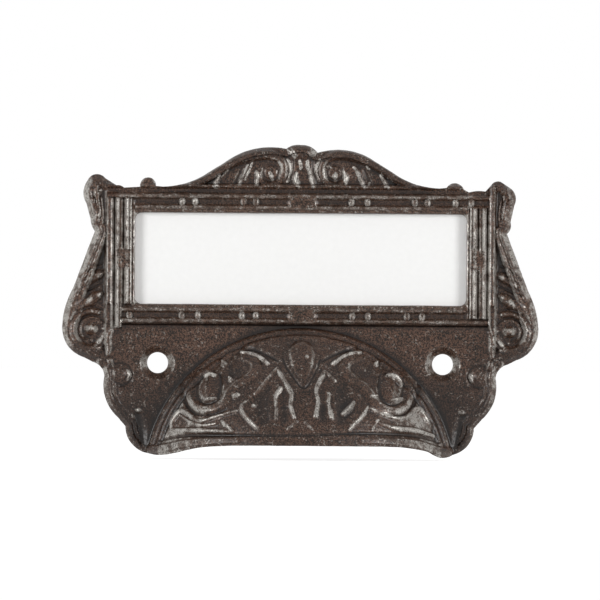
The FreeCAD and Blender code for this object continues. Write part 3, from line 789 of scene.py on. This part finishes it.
def measure_tree():
    """Stores every point's distance from a line under a name."""
    tree, given = geometry_tree("measure", [("Line", "Object"), ("Name", "String")])
    _, distance = distance_nodes(tree, given["Line"])
    return close_tree(tree, tree.keep(given["Geometry"], given["Name"], distance))


def ridge_tree():
    """Keeps the higher of a stored relief and a flat-topped band along the lines."""
    inputs = [("Lines", "Object"), ("Name", "String"), ("Height", "Float"), ("Flat share", "Float")]
    tree, given = geometry_tree("raise_ridges", inputs)
    wires, distance = distance_nodes(tree, given["Lines"])
    nearest = tree.node("GeometryNodeSampleNearest", {"domain": "POINT"}, {"Geometry": wires})
    width = tree.node("GeometryNodeSampleIndex", {"data_type": "FLOAT", "domain": "POINT"},
                      {"Geometry": wires, "Value": tree.kept("half_width"), "Index": nearest})
    band = 1 - (distance / width).between(given["Flat share"], 1.0)
    raised = tree.kept(given["Name"]).math("MAXIMUM", band * width * given["Height"])
    return close_tree(tree, tree.keep(given["Geometry"], given["Name"], raised))


measure, raise_ridges = measure_tree(), ridge_tree()
print("trees of", len(measure.nodes), "and", len(raise_ridges.nodes), "nodes")


# %% Raise the lines on the sheet
# lines that get a painted highlight, and its strength
PAINTED_HIGHLIGHTS = {"scroll_crests": 2.4, "hood_beads": 2.2, "hood_leaves": 1.4, "arch_shine": 1.3,
          "crest_leaves": 3.0, "ball_foot": 2.4, "leaf_beads": 2.0}
HIGHLIGHT_FLAT = 0.2


def line_object(name, lines):
    """A curve object in the front view, with the half widths as its radius."""
    curve = bpy.data.curves.new(name, "CURVE")
    curve.dimensions = "3D"
    for line in lines:
        spline = curve.splines.new("POLY")
        spline.points.add(len(line) - 1)
        for point, (x, z, width) in zip(spline.points, line):
            point.co = (x, 0, z, 1)
            point.radius = width
    return new_object(name, curve)


def soft_line(line):
    """A drawn line as closely spaced points, with its widths."""
    return smooth_line(line) if len(line) > 2 else line


def apply_trees(piece, steps):
    """Runs trees on an object in turn and keeps the result as its plain mesh."""
    for group, inputs in steps:
        modifier = piece.modifiers.new(group.name, "NODES")
        modifier.node_group = group
        for socket in group.interface.items_tree:
            if socket.in_out == "INPUT" and socket.name in inputs:
                modifier[socket.identifier] = inputs[socket.name]
    graph = bpy.context.evaluated_depsgraph_get()
    piece.data = bpy.data.meshes.new_from_object(piece.evaluated_get(graph))
    piece.modifiers.clear()


def read(piece, name):
    """A stored value of every point of a piece."""
    values = np.zeros(len(piece.data.vertices))
    piece.data.attributes[name].data.foreach_get("value", values)
    return values


flat = bpy.data.meshes.new("front_sheet")
flat.from_pydata([(x, 0, z) for x, z in front_points], [], front_faces.tolist())
sheet = new_object("front_sheet", flat)
border = [[(x, z, 1) for x, z in half] for half in (right_edge, left_edge)]
helpers = [line_object("outline_line", border)]
steps = [(measure, {"Line": helpers[0], "Name": "edge"})]
for stored, table in (("relief", RELIEF), ("carved", GROOVES)):
    for name, (height, flat_share, drawn) in table.items():
        helpers.append(line_object(name, [soft_line(line) for line in drawn]))
        steps.append((raise_ridges, {"Lines": helpers[-1], "Name": stored, "Height": height,
                                     "Flat share": flat_share}))
for name, strength in PAINTED_HIGHLIGHTS.items():
    steps.append((raise_ridges, {"Lines": bpy.data.objects[name], "Name": "rubbed",
                                 "Height": strength, "Flat share": HIGHLIGHT_FLAT}))
apply_trees(sheet, steps)
edge, rubbed = read(sheet, "edge"), read(sheet, "rubbed")
relief = read(sheet, "relief") - read(sheet, "carved")
print("relief", round(relief.min(), 2), "to", round(relief.max(), 2), "mm")

# %% [markdown]
# ## The ground of the relief
# Under the ridges lies the plain shape: a flat plate, a sunk ground beside the frame and
# behind the crest, a bevelled rim along the outline, the reeded moulding round the window,
# and the ball of the hood. All are heights in front of the back, so a section that is drawn
# once can be carried along an edge by looking up each point's distance from it. The uprights
# have more reeds than the rails, and some of them run on into the corners of the frame.

# %% Sections of the moulding and the rims
# Each section lists distances from its edge, with the height there.
UPRIGHT = [(0, 2.0), (0.12, 2.9), (0.3, 3.05), (0.55, 2.7), (0.75, 3.1), (0.9, 3.3),
           (1.05, 3.15), (1.2, 3.1), (1.45, 3.6), (1.7, 3.8), (1.95, 3.55), (2.2, 2.95),
           (2.4, 2.7), (2.65, 2.95), (2.85, 3.3), (3.0, 3.3), (3.15, 3.15), (3.4, 3.6),
           (3.65, 3.85), (3.95, 3.55), (4.15, 2.95), (4.35, 2.7), (4.6, 3.1), (4.8, 3.45),
           (5.0, 3.3), (5.3, 3.2), (5.8, 3.1), (6.0, 2.6), (6.2, 2.0)]
RAIL = [(0, 2.0), (0.12, 2.7), (0.4, 2.9), (0.6, 2.9), (0.8, 3.2), (1.0, 3.5), (1.2, 3.6),
        (1.45, 3.4), (1.7, 2.95), (1.95, 2.75), (2.7, 2.75), (2.95, 2.95), (3.2, 3.4),
        (3.45, 3.65), (3.75, 3.5), (4.05, 3.0), (4.3, 2.6), (4.9, 2.5), (5.2, 2.7),
        (5.45, 3.0), (5.65, 3.1), (5.85, 2.9), (6.2, 2.2)]
SIDE_RIM = [(0, 1.5), (1.15, 2.85), (1.4, 2.9), (1.65, 2.5), (1.95, 2.45), (2.2, 2.75),
            (2.5, 2.7), (3.0, 1.6)]
LOW_RIM = [(0, 1.5), (1.15, 2.85), (1.6, 2.9), (2.3, 2.5), (3.0, 2.1), (3.6, 1.6)]
EAR_RIM = [(0, 1.5), (1.15, 2.85), (1.5, 2.85), (2.2, 2.0)]
CHEEK_RIM = [(0, 1.6), (1.0, 2.75), (1.3, 2.8), (1.6, 2.45), (1.9, 2.4), (2.3, 2.65), (2.7, 2.4)]
TOP_RIM = [(0, 1.6), (0.3, 2.1), (0.9, 2.4), (1.6, 2.4)]
print("upright", UPRIGHT[-1][0], "mm wide, up to", max(top for _, top in UPRIGHT), "mm high")

# %% Plate and rims
PLATE, SUNK_SIDE, SUNK_EAR, SUNK_CREST = 2.4, 1.35, 2.1, 1.7
RIM_TOP = 1.6
BESIDE_X, BESIDE_Z = (40.8, 41.4), (0.5, 2.5)
CREST_X, CREST_Z = (28, 30), (36.6, 37.3)
SIDE_X, EAR_Z = (36, 37), (28.6, 29.6)
CHEEK_X, CHEEK_Z = (33, 34), (-0.5, 1.0)
RAIL_Z, LOW_BAR_Z = (35, 36), (12, 15)


def section(distance, table):
    """The height of a drawn section at a distance."""
    places, heights = zip(*table)
    return np.interp(distance, places, heights)


def step(low, high, value):
    """A smooth step from nought to one."""
    part = np.clip((value - low) / (high - low), 0, 1)
    return part * part * (3 - 2 * part)


x, z = front_points.T
out = np.abs(x)
at_ear = step(*EAR_Z, z)
beside = step(*BESIDE_X, out) * step(*BESIDE_Z, z)
above = step(*CREST_Z, z) * (1 - step(*CREST_X, out))
sunk = SUNK_SIDE + (SUNK_EAR - SUNK_SIDE) * at_ear
ground = PLATE + beside * (sunk - PLATE) + above * (SUNK_CREST - PLATE)
flank = step(*SIDE_X, out)
ear = flank * at_ear
cheek = step(*CHEEK_X, out) * (1 - step(*CHEEK_Z, z))
rail = step(*CREST_X, out) * (1 - flank) * step(*RAIL_Z, z)
bar = flank * (1 - ear) * (1 - cheek)
low_bar = bar * (1 - step(*LOW_BAR_Z, z))
height = ground.copy()
for zone, table in ((bar - low_bar, SIDE_RIM), (low_bar, LOW_RIM), (ear, EAR_RIM),
                    (cheek, CHEEK_RIM), (rail, TOP_RIM), (above, TOP_RIM)):
    rim = section(edge, table)
    rim = np.where(edge > RIM_TOP, np.maximum(rim, ground), rim)
    height = np.where(edge < table[-1][0], height + zone * (rim - height), height)
print("plate and rims", round(height.min(), 2), "to", round(height.max(), 2), "mm")

# %% Moulding round the window
BASE_REEDS, BASE_FOOT, BASE_SLOPE, BASE_REACH = 4.3, 2.2, 0.8, 5.1
TABLET_X, TABLET_HALF_X, TABLET_END_X = 0.35, 2.9, 0.5
TABLET_Z, TABLET_HALF_Z, TABLET_END_Z = (SILL + HEAD) / 2, 2.1, 0.3
TABLET_INNER, TABLET_OUTER, TABLET_HEIGHT = (0.9, 1.2), (3.8, 4.0), 3.3
beside_window, level = outside_window(x, z)
upright = on_upright(x, z)
reach = np.where(upright, beside_window, level)
moulded = np.where(upright, section(reach, UPRIGHT), section(reach, RAIL))
slope = np.minimum(PLATE, BASE_FOOT + (reach - BASE_REEDS) * BASE_SLOPE)
moulded = np.where((z < SILL) & ~upright & (reach >= BASE_REEDS), slope, moulded)
past_x = np.abs(x - TABLET_X) - TABLET_HALF_X
past_z = np.abs(z - TABLET_Z) - TABLET_HALF_Z
tablet = np.where(beside_window < 0, 1 - step(-TABLET_END_X, TABLET_END_X, past_x),
                  1 - step(-TABLET_END_Z, TABLET_END_Z, past_z))
tablet *= step(*TABLET_INNER, reach) * (1 - step(*TABLET_OUTER, reach))
moulded += tablet * (TABLET_HEIGHT - moulded)
on_frame = np.maximum(beside_window, level) < np.where(z < SILL, BASE_REACH, FRAME_REACH)
height = np.where(on_frame, moulded, height)
print("moulding up to", round(moulded[on_frame].max(), 2), "mm, on", on_frame.sum(), "points")

# %% Ball of the hood and countersinks
HOOD_TOP, HOOD_MEETS, HOOD_HOLLOW = 9, 0.4, 0.8
SINK = 3.7


def dome(x, z, radius):
    """The height of a ball of the hood at places of the front view."""
    return np.sqrt(np.maximum(radius**2 - x**2 - (z - AXIS) ** 2, 0)) - SETBACK


def soften(a, b, reach):
    """The higher of two heights, with a small hollow where they meet."""
    overlap = np.maximum(reach - np.abs(a - b), 0) / reach
    return np.maximum(a, b) + overlap**3 * reach / 6


ball = dome(x, z, BALL)
on_ball = step(-HOOD_MEETS, HOOD_MEETS, ball - height) * (z < HOOD_TOP)
height = np.where(z < HOOD_TOP, soften(height, ball, HOOD_HOLLOW), height)
for screw in (SCREW_X, -SCREW_X):
    radius = np.hypot(x - screw, z)
    height = np.where(radius < SINK, np.minimum(height, PLATE - SINK + radius), height)
print("plain heights", round(height.min(), 2), "to", round(height.max(), 2), "mm")

# %% [markdown]
# ## Painted highlights and painted shade
# The casting was blackened. Ribs, reeds and thin strokes get painted highlights where the side
# lamps would catch them; hollows beside the scrolls, the arch over the hood and other places
# that the lamps hardly reach get painted shade. Each point keeps two values for the finish to
# read: how much painted light it gets, below nought where a painted highlight is taken down as
# painted shade, and how strong its painted shade is. They could be painted by hand; a rule for
# each place is easier to change.

# %% Painted highlights
RIBS, RIB_EDGE = (1.1, 3.45), (0.3, 1.0)
RIB_HIGHLIGHT_BASE, RIB_HIGHLIGHT_TOP = 0.23, 0.31
REEDS = [
    # middle, half width, how strong the painted highlight is
    (0.9, 0.2, 0.5), (1.7, 0.45, 0.75), (2.9, 0.2, 0.5), (3.7, 0.45, 0.75), (4.8, 0.3, 0.75),
    (0.3, 0.15, 0.3)]
REED_CORE, REED_FADE = 0.4, 1.2
# spots where the painted highlight is taken down, as painted shade
SHADED_SPOTS = both(spot(12.0, 0.4, 2.4), spot(16.4, -3.4, 1.6), spot(19.3, -5.2, 2.0),
               spot(33.4, -14.5, 3.2), spot(28.8, -12.8, 2.4)) + [spot(-24.8, -12.5, 1.5)]
SPOT_SHADE, SPOT_CORE = 0.7, 0.5
ARCH_EDGE, RAIL_END, RIM_EDGE = (ARCH - 2.8, ARCH - 2.2), (4.0, 4.5), (1.2, 1.6)
on_rail = on_frame & ~upright & (height > PLATE)
ribs = 1 - np.minimum(*(step(*RIB_EDGE, np.abs(reach - rib)) for rib in RIBS))
# painted highlights on the ribs of the rails and the reeds of the uprights
rubbed = np.maximum(rubbed, np.where(z < SILL, RIB_HIGHLIGHT_BASE, RIB_HIGHLIGHT_TOP) * ribs * on_rail)
for middle, half, strength in REEDS:
    reed = 1 - step(REED_CORE * half, REED_FADE * half, np.abs(reach - middle))
    rubbed = np.maximum(rubbed, strength * reed * (on_frame & upright))
for (middle_x, middle_z, radius), _ in SHADED_SPOTS:
    away = np.hypot(x - middle_x, z - middle_z)
    rubbed -= SPOT_SHADE * (1 - step(SPOT_CORE * radius, radius, away))
arch = on_ball * step(*ARCH_EDGE, np.hypot(x, z - AXIS))
at_rim = 1 - step(*RIM_EDGE, edge)
DIMMED = [
    # how far the painted highlight is taken down, as painted shade, and where
    (0.65, arch), (0.25, arch * (x < 0)), (0.7, step(*RAIL_END, beside_window) * on_rail),
    (0.5, ear * (x > 0)), (0.25, bar * at_rim * (x > 0))]
for share, place in DIMMED:
    rubbed -= share * place
print("rubbed", round(rubbed.min(), 2), "to", round(rubbed.max(), 2))

# %% Painted shade
HOOD_SHADE, RAISED_LESS, CARVED_MORE, LOW_LESS = 0.42, 0.15, 0.5, 0.2
RAISED, CARVED = (0.05, 0.45), (0.03, 0.25)
LOW_X, LOW_Z = (12, 18), (-10, -7)
LIP_SHADE, LIP_Z = 0.5, (-16.2, -14.8)
ARCH_LESS_SHADE, HIGH_ARCH_Z = 0.7, (-6, 1)
PLATE_Z, PLATE_REACH = (-12, 8), 6.5
CREST_EDGE, LOW_BAR_END, LOW_BAR_EDGE = (1.6, 2.4), (3, 6), (2.0, 3.5)
GROOVE_START, GROOVE_END = (3.9, 4.3), (4.9, 5.4)
low_corner = step(*LOW_X, out) * (1 - step(*LOW_Z, z))
# painted shade on the ball of the hood: stronger in the grooves and at the lip, weaker on raised
# relief and high on the arch
soot = HOOD_SHADE - RAISED_LESS * step(*RAISED, relief)
soot = soot + CARVED_MORE * step(*CARVED, -relief) - LOW_LESS * low_corner
soot = on_ball * np.clip(soot, 0, 1)
soot = np.maximum(soot, LIP_SHADE * on_ball * (1 - step(*LIP_Z, z)))
high_arch = arch * step(*HIGH_ARCH_Z, z)
soot *= 1 - ARCH_LESS_SHADE * high_arch
groove = step(*GROOVE_START, reach) * (1 - step(*GROOVE_END, reach))
SHADED_PLACES = {
    # place: how strong the painted shade is, and where
    "lower_arch": (0.5, arch - high_arch),
    "side_rims": (0.3, flank * at_rim),
    "plate": (0.9, (1 - on_ball) * (1 - step(*PLATE_Z, z)) * (beside_window < PLATE_REACH)),
    "crest_edge": (0.5, above * (1 - step(*CREST_EDGE, edge))),
    "side_scrolls": (0.6, low_bar * (1 - step(*LOW_BAR_END, z)) * (1 - step(*LOW_BAR_EDGE, edge))),
    "rail_grooves": (0.25, groove * (on_frame & ~upright)),
}
for thickness, place in SHADED_PLACES.values():
    soot = np.maximum(soot, thickness * place)
print("soot mean", round(soot.mean(), 3))

# %% [markdown]
# ## Laying the relief on the ground
# On the plate the relief rises straight forward. On the ball of the hood it rises square to
# the ball, as a modeller would lay it on, so that it keeps its width on the steep sides.

# %% Raise the relief
STEEPEST = 0.05
outward = np.column_stack([x, np.zeros_like(x), z - AXIS]) / BALL
outward[:, 1] = -np.sqrt(np.maximum(1 - outward[:, 0] ** 2 - outward[:, 2] ** 2, STEEPEST))
forward = np.array([0.0, -1.0, 0.0])
lift = forward + on_ball[:, None] * (outward - forward)
front = np.column_stack([x, -height, z]) + lift * relief[:, None]
print("front reaches", round(-front[:, 1].min(), 2), "mm")

# %% [markdown]
# ## The back and the walls
# The back lies flat on the drawer, with a shallow rebate for the card round the window and
# the hood's hollow, which opens behind and below. A Solidify modifier would carry the relief
# through to the back, so the back is a second, coarser sheet with the same edges, and strips
# of quads close the gap between the two all round.

# %% The back sheet
REBATE, LAP, WALL = 1.2, 1.8, 2.2
BACK_STEP = 0.9
REBATE_CORNER, CREASE = 0.8, 0.03
BRIM_FROM, BRIM_TO, BRIM_POINTS = 8, 172, 160
rebate_edges = [rectangle(LAP + offset, REBATE_CORNER) for offset in (-CREASE, CREASE)]
brim = math.sqrt((BALL - WALL) ** 2 - SETBACK**2)
arc = np.array(ring(0, AXIS, brim, BRIM_FROM, BRIM_TO, 0, BRIM_POINTS))[:, :2]
arc = arc[[inside(place[:1], place[1])[0] for place in arc]]
arc = arc[[np.hypot(*(outline - place).T).min() > BACK_STEP / 3 for place in arc]]
back_points, back_faces = fill(BACK_STEP, rebate_edges, [arc])
back_x, back_z = back_points.T
depth = np.maximum(dome(back_x, back_z, BALL - WALL), 0)
beyond = [np.maximum(gap + REBATE_CORNER - LAP, 0) for gap in outside_window(back_x, back_z)]
depth = np.where(np.hypot(*beyond) < REBATE_CORNER, REBATE, depth)
back = np.column_stack([back_x, -depth, back_z])
print("back sheet", len(back_points), "points, up to", round(depth.max(), 2), "mm deep")

# %% Close the casting
walls, start = [], 0
shift = len(front)
for loop in loops:
    count = len(loop)
    for i in range(start, start + count):
        j = start + (i + 1 - start) % count
        walls.append((j, i, i + shift, j + shift))
    start += count
faces = [*map(tuple, front_faces), *(tuple(f[::-1] + shift) for f in back_faces), *walls]
solid = bpy.data.meshes.new("iron_casting")
solid.from_pydata(np.concatenate([front, back]).tolist(), [], faces)
# painted light and painted shade are stored on the front's points for the finish
for name, values in (("rubbed", rubbed.clip(-1, 1)), ("soot", soot)):
    stored = solid.attributes.new(name, "FLOAT", "POINT")
    stored.data.foreach_set("value", np.concatenate([values, np.zeros(len(back))]))
casting = new_object("iron_casting", solid)
for helper in (*helpers, sheet):
    bpy.data.objects.remove(helper)
print("casting", len(solid.vertices), "points", len(solid.polygons), "faces")

# %% [markdown]
# ## Sand-cast skin, wear and painted light
# Iron cast in sand is never quite even, and rubbing brightens what stands proud; the hollows
# get painted shade. One tree moves the skin by a little noise, then compares each point
# with its smoothed surroundings: what lies above them is worn, what lies below is hollow. It
# also stores where the skin faces left or right, towards the lamps, which the finish paints
# lighter as a painted highlight. The finish reads all three values.

# %% Uneven skin, worn heights and hollows for painted shade
FACING_SIDE, FACING_FRONT = (0.36, 0.72), (0.1, 0.4)
BROAD_LUMPS, FINE_LUMPS, FINE_SHARE = 0.35, 1.6, 0.5
CLEAR_OF_BACK = (0.3, 1.5)
PROUD_AND_SUNK = (
    # name, rounds of smoothing, height that counts in full
    ("worn", 6, 0.06), ("hollow", 40, -0.5))
UNEVENNESS = 0.16


def store_side_highlight(tree, geometry):
    """Stores how far each point's skin faces left or right, on the front only, for a painted
    highlight.
    """
    facing = tree.node("ShaderNodeSeparateXYZ", {}, {0: tree.node("GeometryNodeInputNormal")})
    sideways = facing.out("X").math("ABSOLUTE").between(*FACING_SIDE)
    in_front = (0 - facing.out("Y")).between(*FACING_FRONT)
    return tree.keep(geometry, "brushed", sideways * in_front)


def weather_tree():
    """Roughens a surface a little, stores how proud or sunk each point is and where it faces sideways,
    for a painted highlight.
    """
    tree, given = geometry_tree("weather", [("Unevenness", "Float")])
    place = tree.node("GeometryNodeInputPosition")
    normal = tree.node("GeometryNodeInputNormal")
    lumps = tree.noise(place, BROAD_LUMPS) + tree.noise(place, FINE_LUMPS) * FINE_SHARE
    lumps = lumps - (1 + FINE_SHARE) / 2
    behind = tree.node("ShaderNodeSeparateXYZ", {}, {0: place}).out("Y")
    in_front = (0 - behind).between(*CLEAR_OF_BACK)
    offset = tree.scaled(normal, lumps * given["Unevenness"] * in_front)
    values = {"Geometry": given["Geometry"], "Offset": offset}
    shape = tree.node("GeometryNodeSetPosition", {}, values)
    for name, rounds, full in PROUD_AND_SUNK:
        blurred = tree.node("GeometryNodeBlurAttribute", {"data_type": "FLOAT_VECTOR"},
                            {"Value": place, "Iterations": rounds})
        proud = tree.vector("SUBTRACT", place, blurred)
        amount = tree.vector("DOT_PRODUCT", proud, normal).out("Value")
        shape = tree.keep(shape, name, (amount / full).clamp())
    return close_tree(tree, store_side_highlight(tree, shape))


apply_trees(casting, [(weather_tree(), {"Unevenness": UNEVENNESS})])
for name in ("worn", "hollow", "brushed"):
    print(name, "mean", round(read(casting, name).mean(), 3))

# %% Smooth shading, sharp where walls meet the front
SHARP_ANGLE = 50
casting.data.shade_smooth()
casting.data.set_sharp_from_angle(angle=math.radians(SHARP_ANGLE))
casting.data.transform(((MM, 0, 0, 0), (0, MM, 0, 0), (0, 0, MM, 0), (0, 0, 0, 1)))
print("casting in metres, sharp from", SHARP_ANGLE, "degrees")

# %% [markdown]
# ## Cast-iron finish
# The blackened iron is a grainy dark brown. It turns to light grey as a painted highlight on
# flanks that face sideways towards the lamps and on ribs and strokes where the lamps would
# catch, and to grey metal on worn heights and in single specks all over. Hollows and shaded
# places go nearly black, as painted shade. Each of these is one stored value or one noise,
# and sums on sockets bring them together into one brightness, which chooses colour and shine.
# A painted texture would need an unwrapped surface; values on the points and noise in space do not.

# %% Colours and grain of the iron
DARK_BROWNS = ((0.007, 0.004, 0.002, 1), (0.016, 0.008, 0.005, 1))
LIGHT_BROWNS = ((0.088, 0.046, 0.030, 1), (0.122, 0.066, 0.044, 1))
# colour of the painted shade
SHADE_BLACK = (0.008, 0.005, 0.004, 1)
# colours of worn metal and of the painted highlights
TAN, GREY_METAL_AND_HIGHLIGHT = (0.165, 0.115, 0.088, 1), (0.42, 0.40, 0.37, 1)
PATCHES, FLECKS, GRAIN, GRIT, SPECKS = 0.12, 0.7, 3.2, 5.5, 2.4
DETAIL, SPECK_DETAIL = 3.0, 1.0
GRAIN_SHARE, FLECK_DEPTH = 0.6, 0.5
DARK_PATCHES, LIGHT_PATCHES = (0.35, 0.65), (0.38, 0.62)
BROWN_GRAIN, BRIGHT_GRAIN, METAL_AND_HIGHLIGHT_TONE = (0.47, 0.55), (0.32, 0.52), (0.15, 0.7)
BRIGHT_FLECKS, SPECK_FLECKS, SPECK_LIMITS = (0.32, 0.60), (0.42, 0.58), (0.56, 0.66)
HOLLOW_SHADE, PAINTED_SHADE_DARK, SHADE_DIMS_HIGHLIGHT = 0.9, 0.7, 0.7
PAINTED_LIGHT_SHARE, WORN_SHARE, SPECK_SHARE = 0.75, 0.25, 0.45
ROUGHNESS, ROUGH_SPREAD, METAL_SHARE, SHEEN = 0.3, 0.2, 0.4, 0.3
BUMP_STRENGTH, BUMP_DEPTH = 0.6, 0.00003
print("noise scales", PATCHES, FLECKS, SPECKS, GRAIN, GRIT, "to the millimetre")


# %% Iron
def mix(tree, part, first, second):
    """A colour between two others, which are the node's sockets 6 and 7."""
    return tree.node("ShaderNodeMix", {"data_type": "RGBA"}, {0: part, 6: first, 7: second})


def iron_finish():
    """Brown grain, painted shade, worn metal and painted highlights, from stored values and noise."""
    material, tree = new_finish("cast_iron")
    place = tree.scaled(tree.node("ShaderNodeTexCoord").out("Object"), 1 / MM)
    worn, hollow, brushed, rubbed, soot = (
        tree.node("ShaderNodeAttribute", {"attribute_name": name}).out("Fac")
        for name in ("worn", "hollow", "brushed", "rubbed", "soot"))
    patches, flecks, grain = (tree.noise(place, scale, DETAIL) for scale in (PATCHES, FLECKS, GRAIN))
    grit = tree.noise(place, GRIT)
    speckle = grain * GRAIN_SHARE + grit * (1 - GRAIN_SHARE)
    dark = mix(tree, patches.between(*DARK_PATCHES), *DARK_BROWNS)
    light = mix(tree, patches.between(*LIGHT_PATCHES), *LIGHT_BROWNS)
    brown = mix(tree, speckle.between(*BROWN_GRAIN), dark, light)
    # painted shade: hollows and shaded places darkened towards black
    black = (hollow * HOLLOW_SHADE + soot * PAINTED_SHADE_DARK).clamp()
    brown = mix(tree, black, brown, SHADE_BLACK)
    # painted highlight on flanks that face sideways towards the lamps
    flanks = brushed * (1 - hollow * SHADE_DIMS_HIGHLIGHT) * (1 - soot * SHADE_DIMS_HIGHLIGHT)
    bright = (flanks + rubbed * PAINTED_LIGHT_SHARE + worn * (1 - soot) * WORN_SHARE).clamp()
    worn_through = flecks.between(*BRIGHT_FLECKS) * FLECK_DEPTH + (1 - FLECK_DEPTH)
    bright = bright * speckle.between(*BRIGHT_GRAIN) * worn_through
    specks = tree.noise(place, SPECKS, SPECK_DETAIL).between(*SPECK_LIMITS)
    specks = specks * flecks.between(*SPECK_FLECKS)
    bright = (bright + specks * (1 - hollow) * SPECK_SHARE).clamp()
    # grey of worn metal and of the painted highlights
    metal_and_highlight = mix(tree, bright.between(*METAL_AND_HIGHLIGHT_TONE), TAN, GREY_METAL_AND_HIGHLIGHT)
    bump = tree.node("ShaderNodeBump", {}, {"Strength": BUMP_STRENGTH, "Distance": BUMP_DEPTH,
                                            "Height": speckle})
    shader = tree.node("ShaderNodeBsdfPrincipled", {}, {
        "Base Color": mix(tree, bright, brown, metal_and_highlight),
        "Roughness": ROUGHNESS + (grit - 0.5) * ROUGH_SPREAD,
        "Metallic": bright * METAL_SHARE, "Specular IOR Level": SHEEN, "Normal": bump})
    tree.node("ShaderNodeOutputMaterial", {}, {"Surface": shader})
    return material


iron = iron_finish()
casting.data.materials.append(iron)
print("finish", iron.name, len(iron.node_tree.nodes), "nodes")

# %% [markdown]
# ## Beads in the groove
# Small oval beads stand in the groove between the two reeds of each rail, most of them in
# pairs. They repeat, so one oval is instanced on points along the rails.

# %% Beads
BEADS_TOP = [-25.0, -22.3, -12.1, -9.5, 10.6, 14.0, 23.9, 26.6, 32.5, 35.8]
BEADS_BASE = [-36.0, -25.0, -21.6, -12.3, -9.4, 10.9, 14.2, 22.4, 25.6]
GROOVE, BEAD_FRONT = 2.4, 2.9
BEAD_SIZE = (0.7, 0.7, 0.95)
BEAD_HIGHLIGHT = 0.8
BEAD_SEGMENTS, BEAD_RINGS = 16, 10


def bead_tree():
    """An oval on every point, made one mesh in the given finish."""
    tree, given = geometry_tree("beads", [("Size", "Vector"), ("Finish", "Material")])
    values = {"Segments": BEAD_SEGMENTS, "Rings": BEAD_RINGS, "Radius": 1.0}
    oval = tree.node("GeometryNodeMeshUVSphere", {}, values).out("Mesh")
    smooth = tree.node("GeometryNodeSetShadeSmooth", {}, {"Geometry": oval})
    placed = tree.node("GeometryNodeInstanceOnPoints", {},
                       {"Points": given["Geometry"], "Instance": smooth, "Scale": given["Size"]})
    real = tree.node("GeometryNodeRealizeInstances", {}, {"Geometry": placed})
    # painted highlight on every bead, and on its flanks that face sideways
    rubbed = tree.keep(store_side_highlight(tree, real), "rubbed", BEAD_HIGHLIGHT)
    values = {"Geometry": rubbed, "Material": given["Finish"]}
    return close_tree(tree, tree.node("GeometryNodeSetMaterial", {}, values))


rows = ((HEAD + GROOVE, BEADS_TOP), (SILL - GROOVE, BEADS_BASE))
places = [(x * MM, -BEAD_FRONT * MM, z * MM) for z, row in rows for x in row]
dots = bpy.data.meshes.new("groove_beads")
dots.from_pydata(places, [], [])
beads = new_object("groove_beads", dots)
apply_trees(beads, [(bead_tree(), {"Size": [size * MM for size in BEAD_SIZE], "Finish": iron})])
print("beads", len(places))

# %% [markdown]
# ## Label card
# A plain white card fills the window from behind and laps a little over its edge, so that
# it cannot fall through. It is a thin sheet with soft corners and a faint paper grain, made
# straight from its edge points because it is flat.

# %% Card
CARD_LAP, CARD_CORNER = 1.5, 0.5
CARD_FRONT, CARD_BACK = 1.19, 0.71
PAPER_WHITES = ((0.90, 0.90, 0.89, 1), (0.95, 0.95, 0.94, 1))
FIBRES, FIBRE_DETAIL = 900.0, 4.0
PAPER_BUMP, PAPER_DEPTH = 0.15, 0.00005
PAPER_ROUGH, PAPER_SPREAD, PAPER_SHEEN = 0.75, 0.1, 0.25


def card_finish():
    """White paper with a faint grain."""
    material, tree = new_finish("label_paper")
    place = tree.node("ShaderNodeTexCoord").out("Object")
    fibres = tree.noise(place, FIBRES, FIBRE_DETAIL)
    bump = tree.node("ShaderNodeBump", {}, {"Strength": PAPER_BUMP, "Distance": PAPER_DEPTH,
                                            "Height": fibres})
    shader = tree.node("ShaderNodeBsdfPrincipled", {}, {
        "Base Color": mix(tree, fibres, *PAPER_WHITES),
        "Roughness": PAPER_ROUGH + fibres * PAPER_SPREAD,
        "Specular IOR Level": PAPER_SHEEN, "Normal": bump})
    tree.node("ShaderNodeOutputMaterial", {}, {"Surface": shader})
    return material


edge_points = rectangle(CARD_LAP, CARD_CORNER)
count = len(edge_points)
card_mesh = bpy.data.meshes.new("paper_card")
card_mesh.from_pydata(
    [(x * MM, -y * MM, z * MM) for y in (CARD_FRONT, CARD_BACK) for x, z in edge_points], [],
    [tuple(range(count))[::-1], tuple(range(count, 2 * count)),
     *((i, (i + 1) % count, count + (i + 1) % count, count + i) for i in range(count))])
card = new_object("paper_card", card_mesh)
card_mesh.materials.append(card_finish())
print("card", count, "edge points")

# %% [markdown]
# ## Hand over
# Every piece rides on the one rigid body. The casting and the card stand for their CAD
# solids; the beads belong to the casting and share its finish.

for piece, slot in ((casting, "iron"), (beads, "iron"), (card, "card")):
    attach(piece, "root")
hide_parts("casting")
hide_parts("label_card")
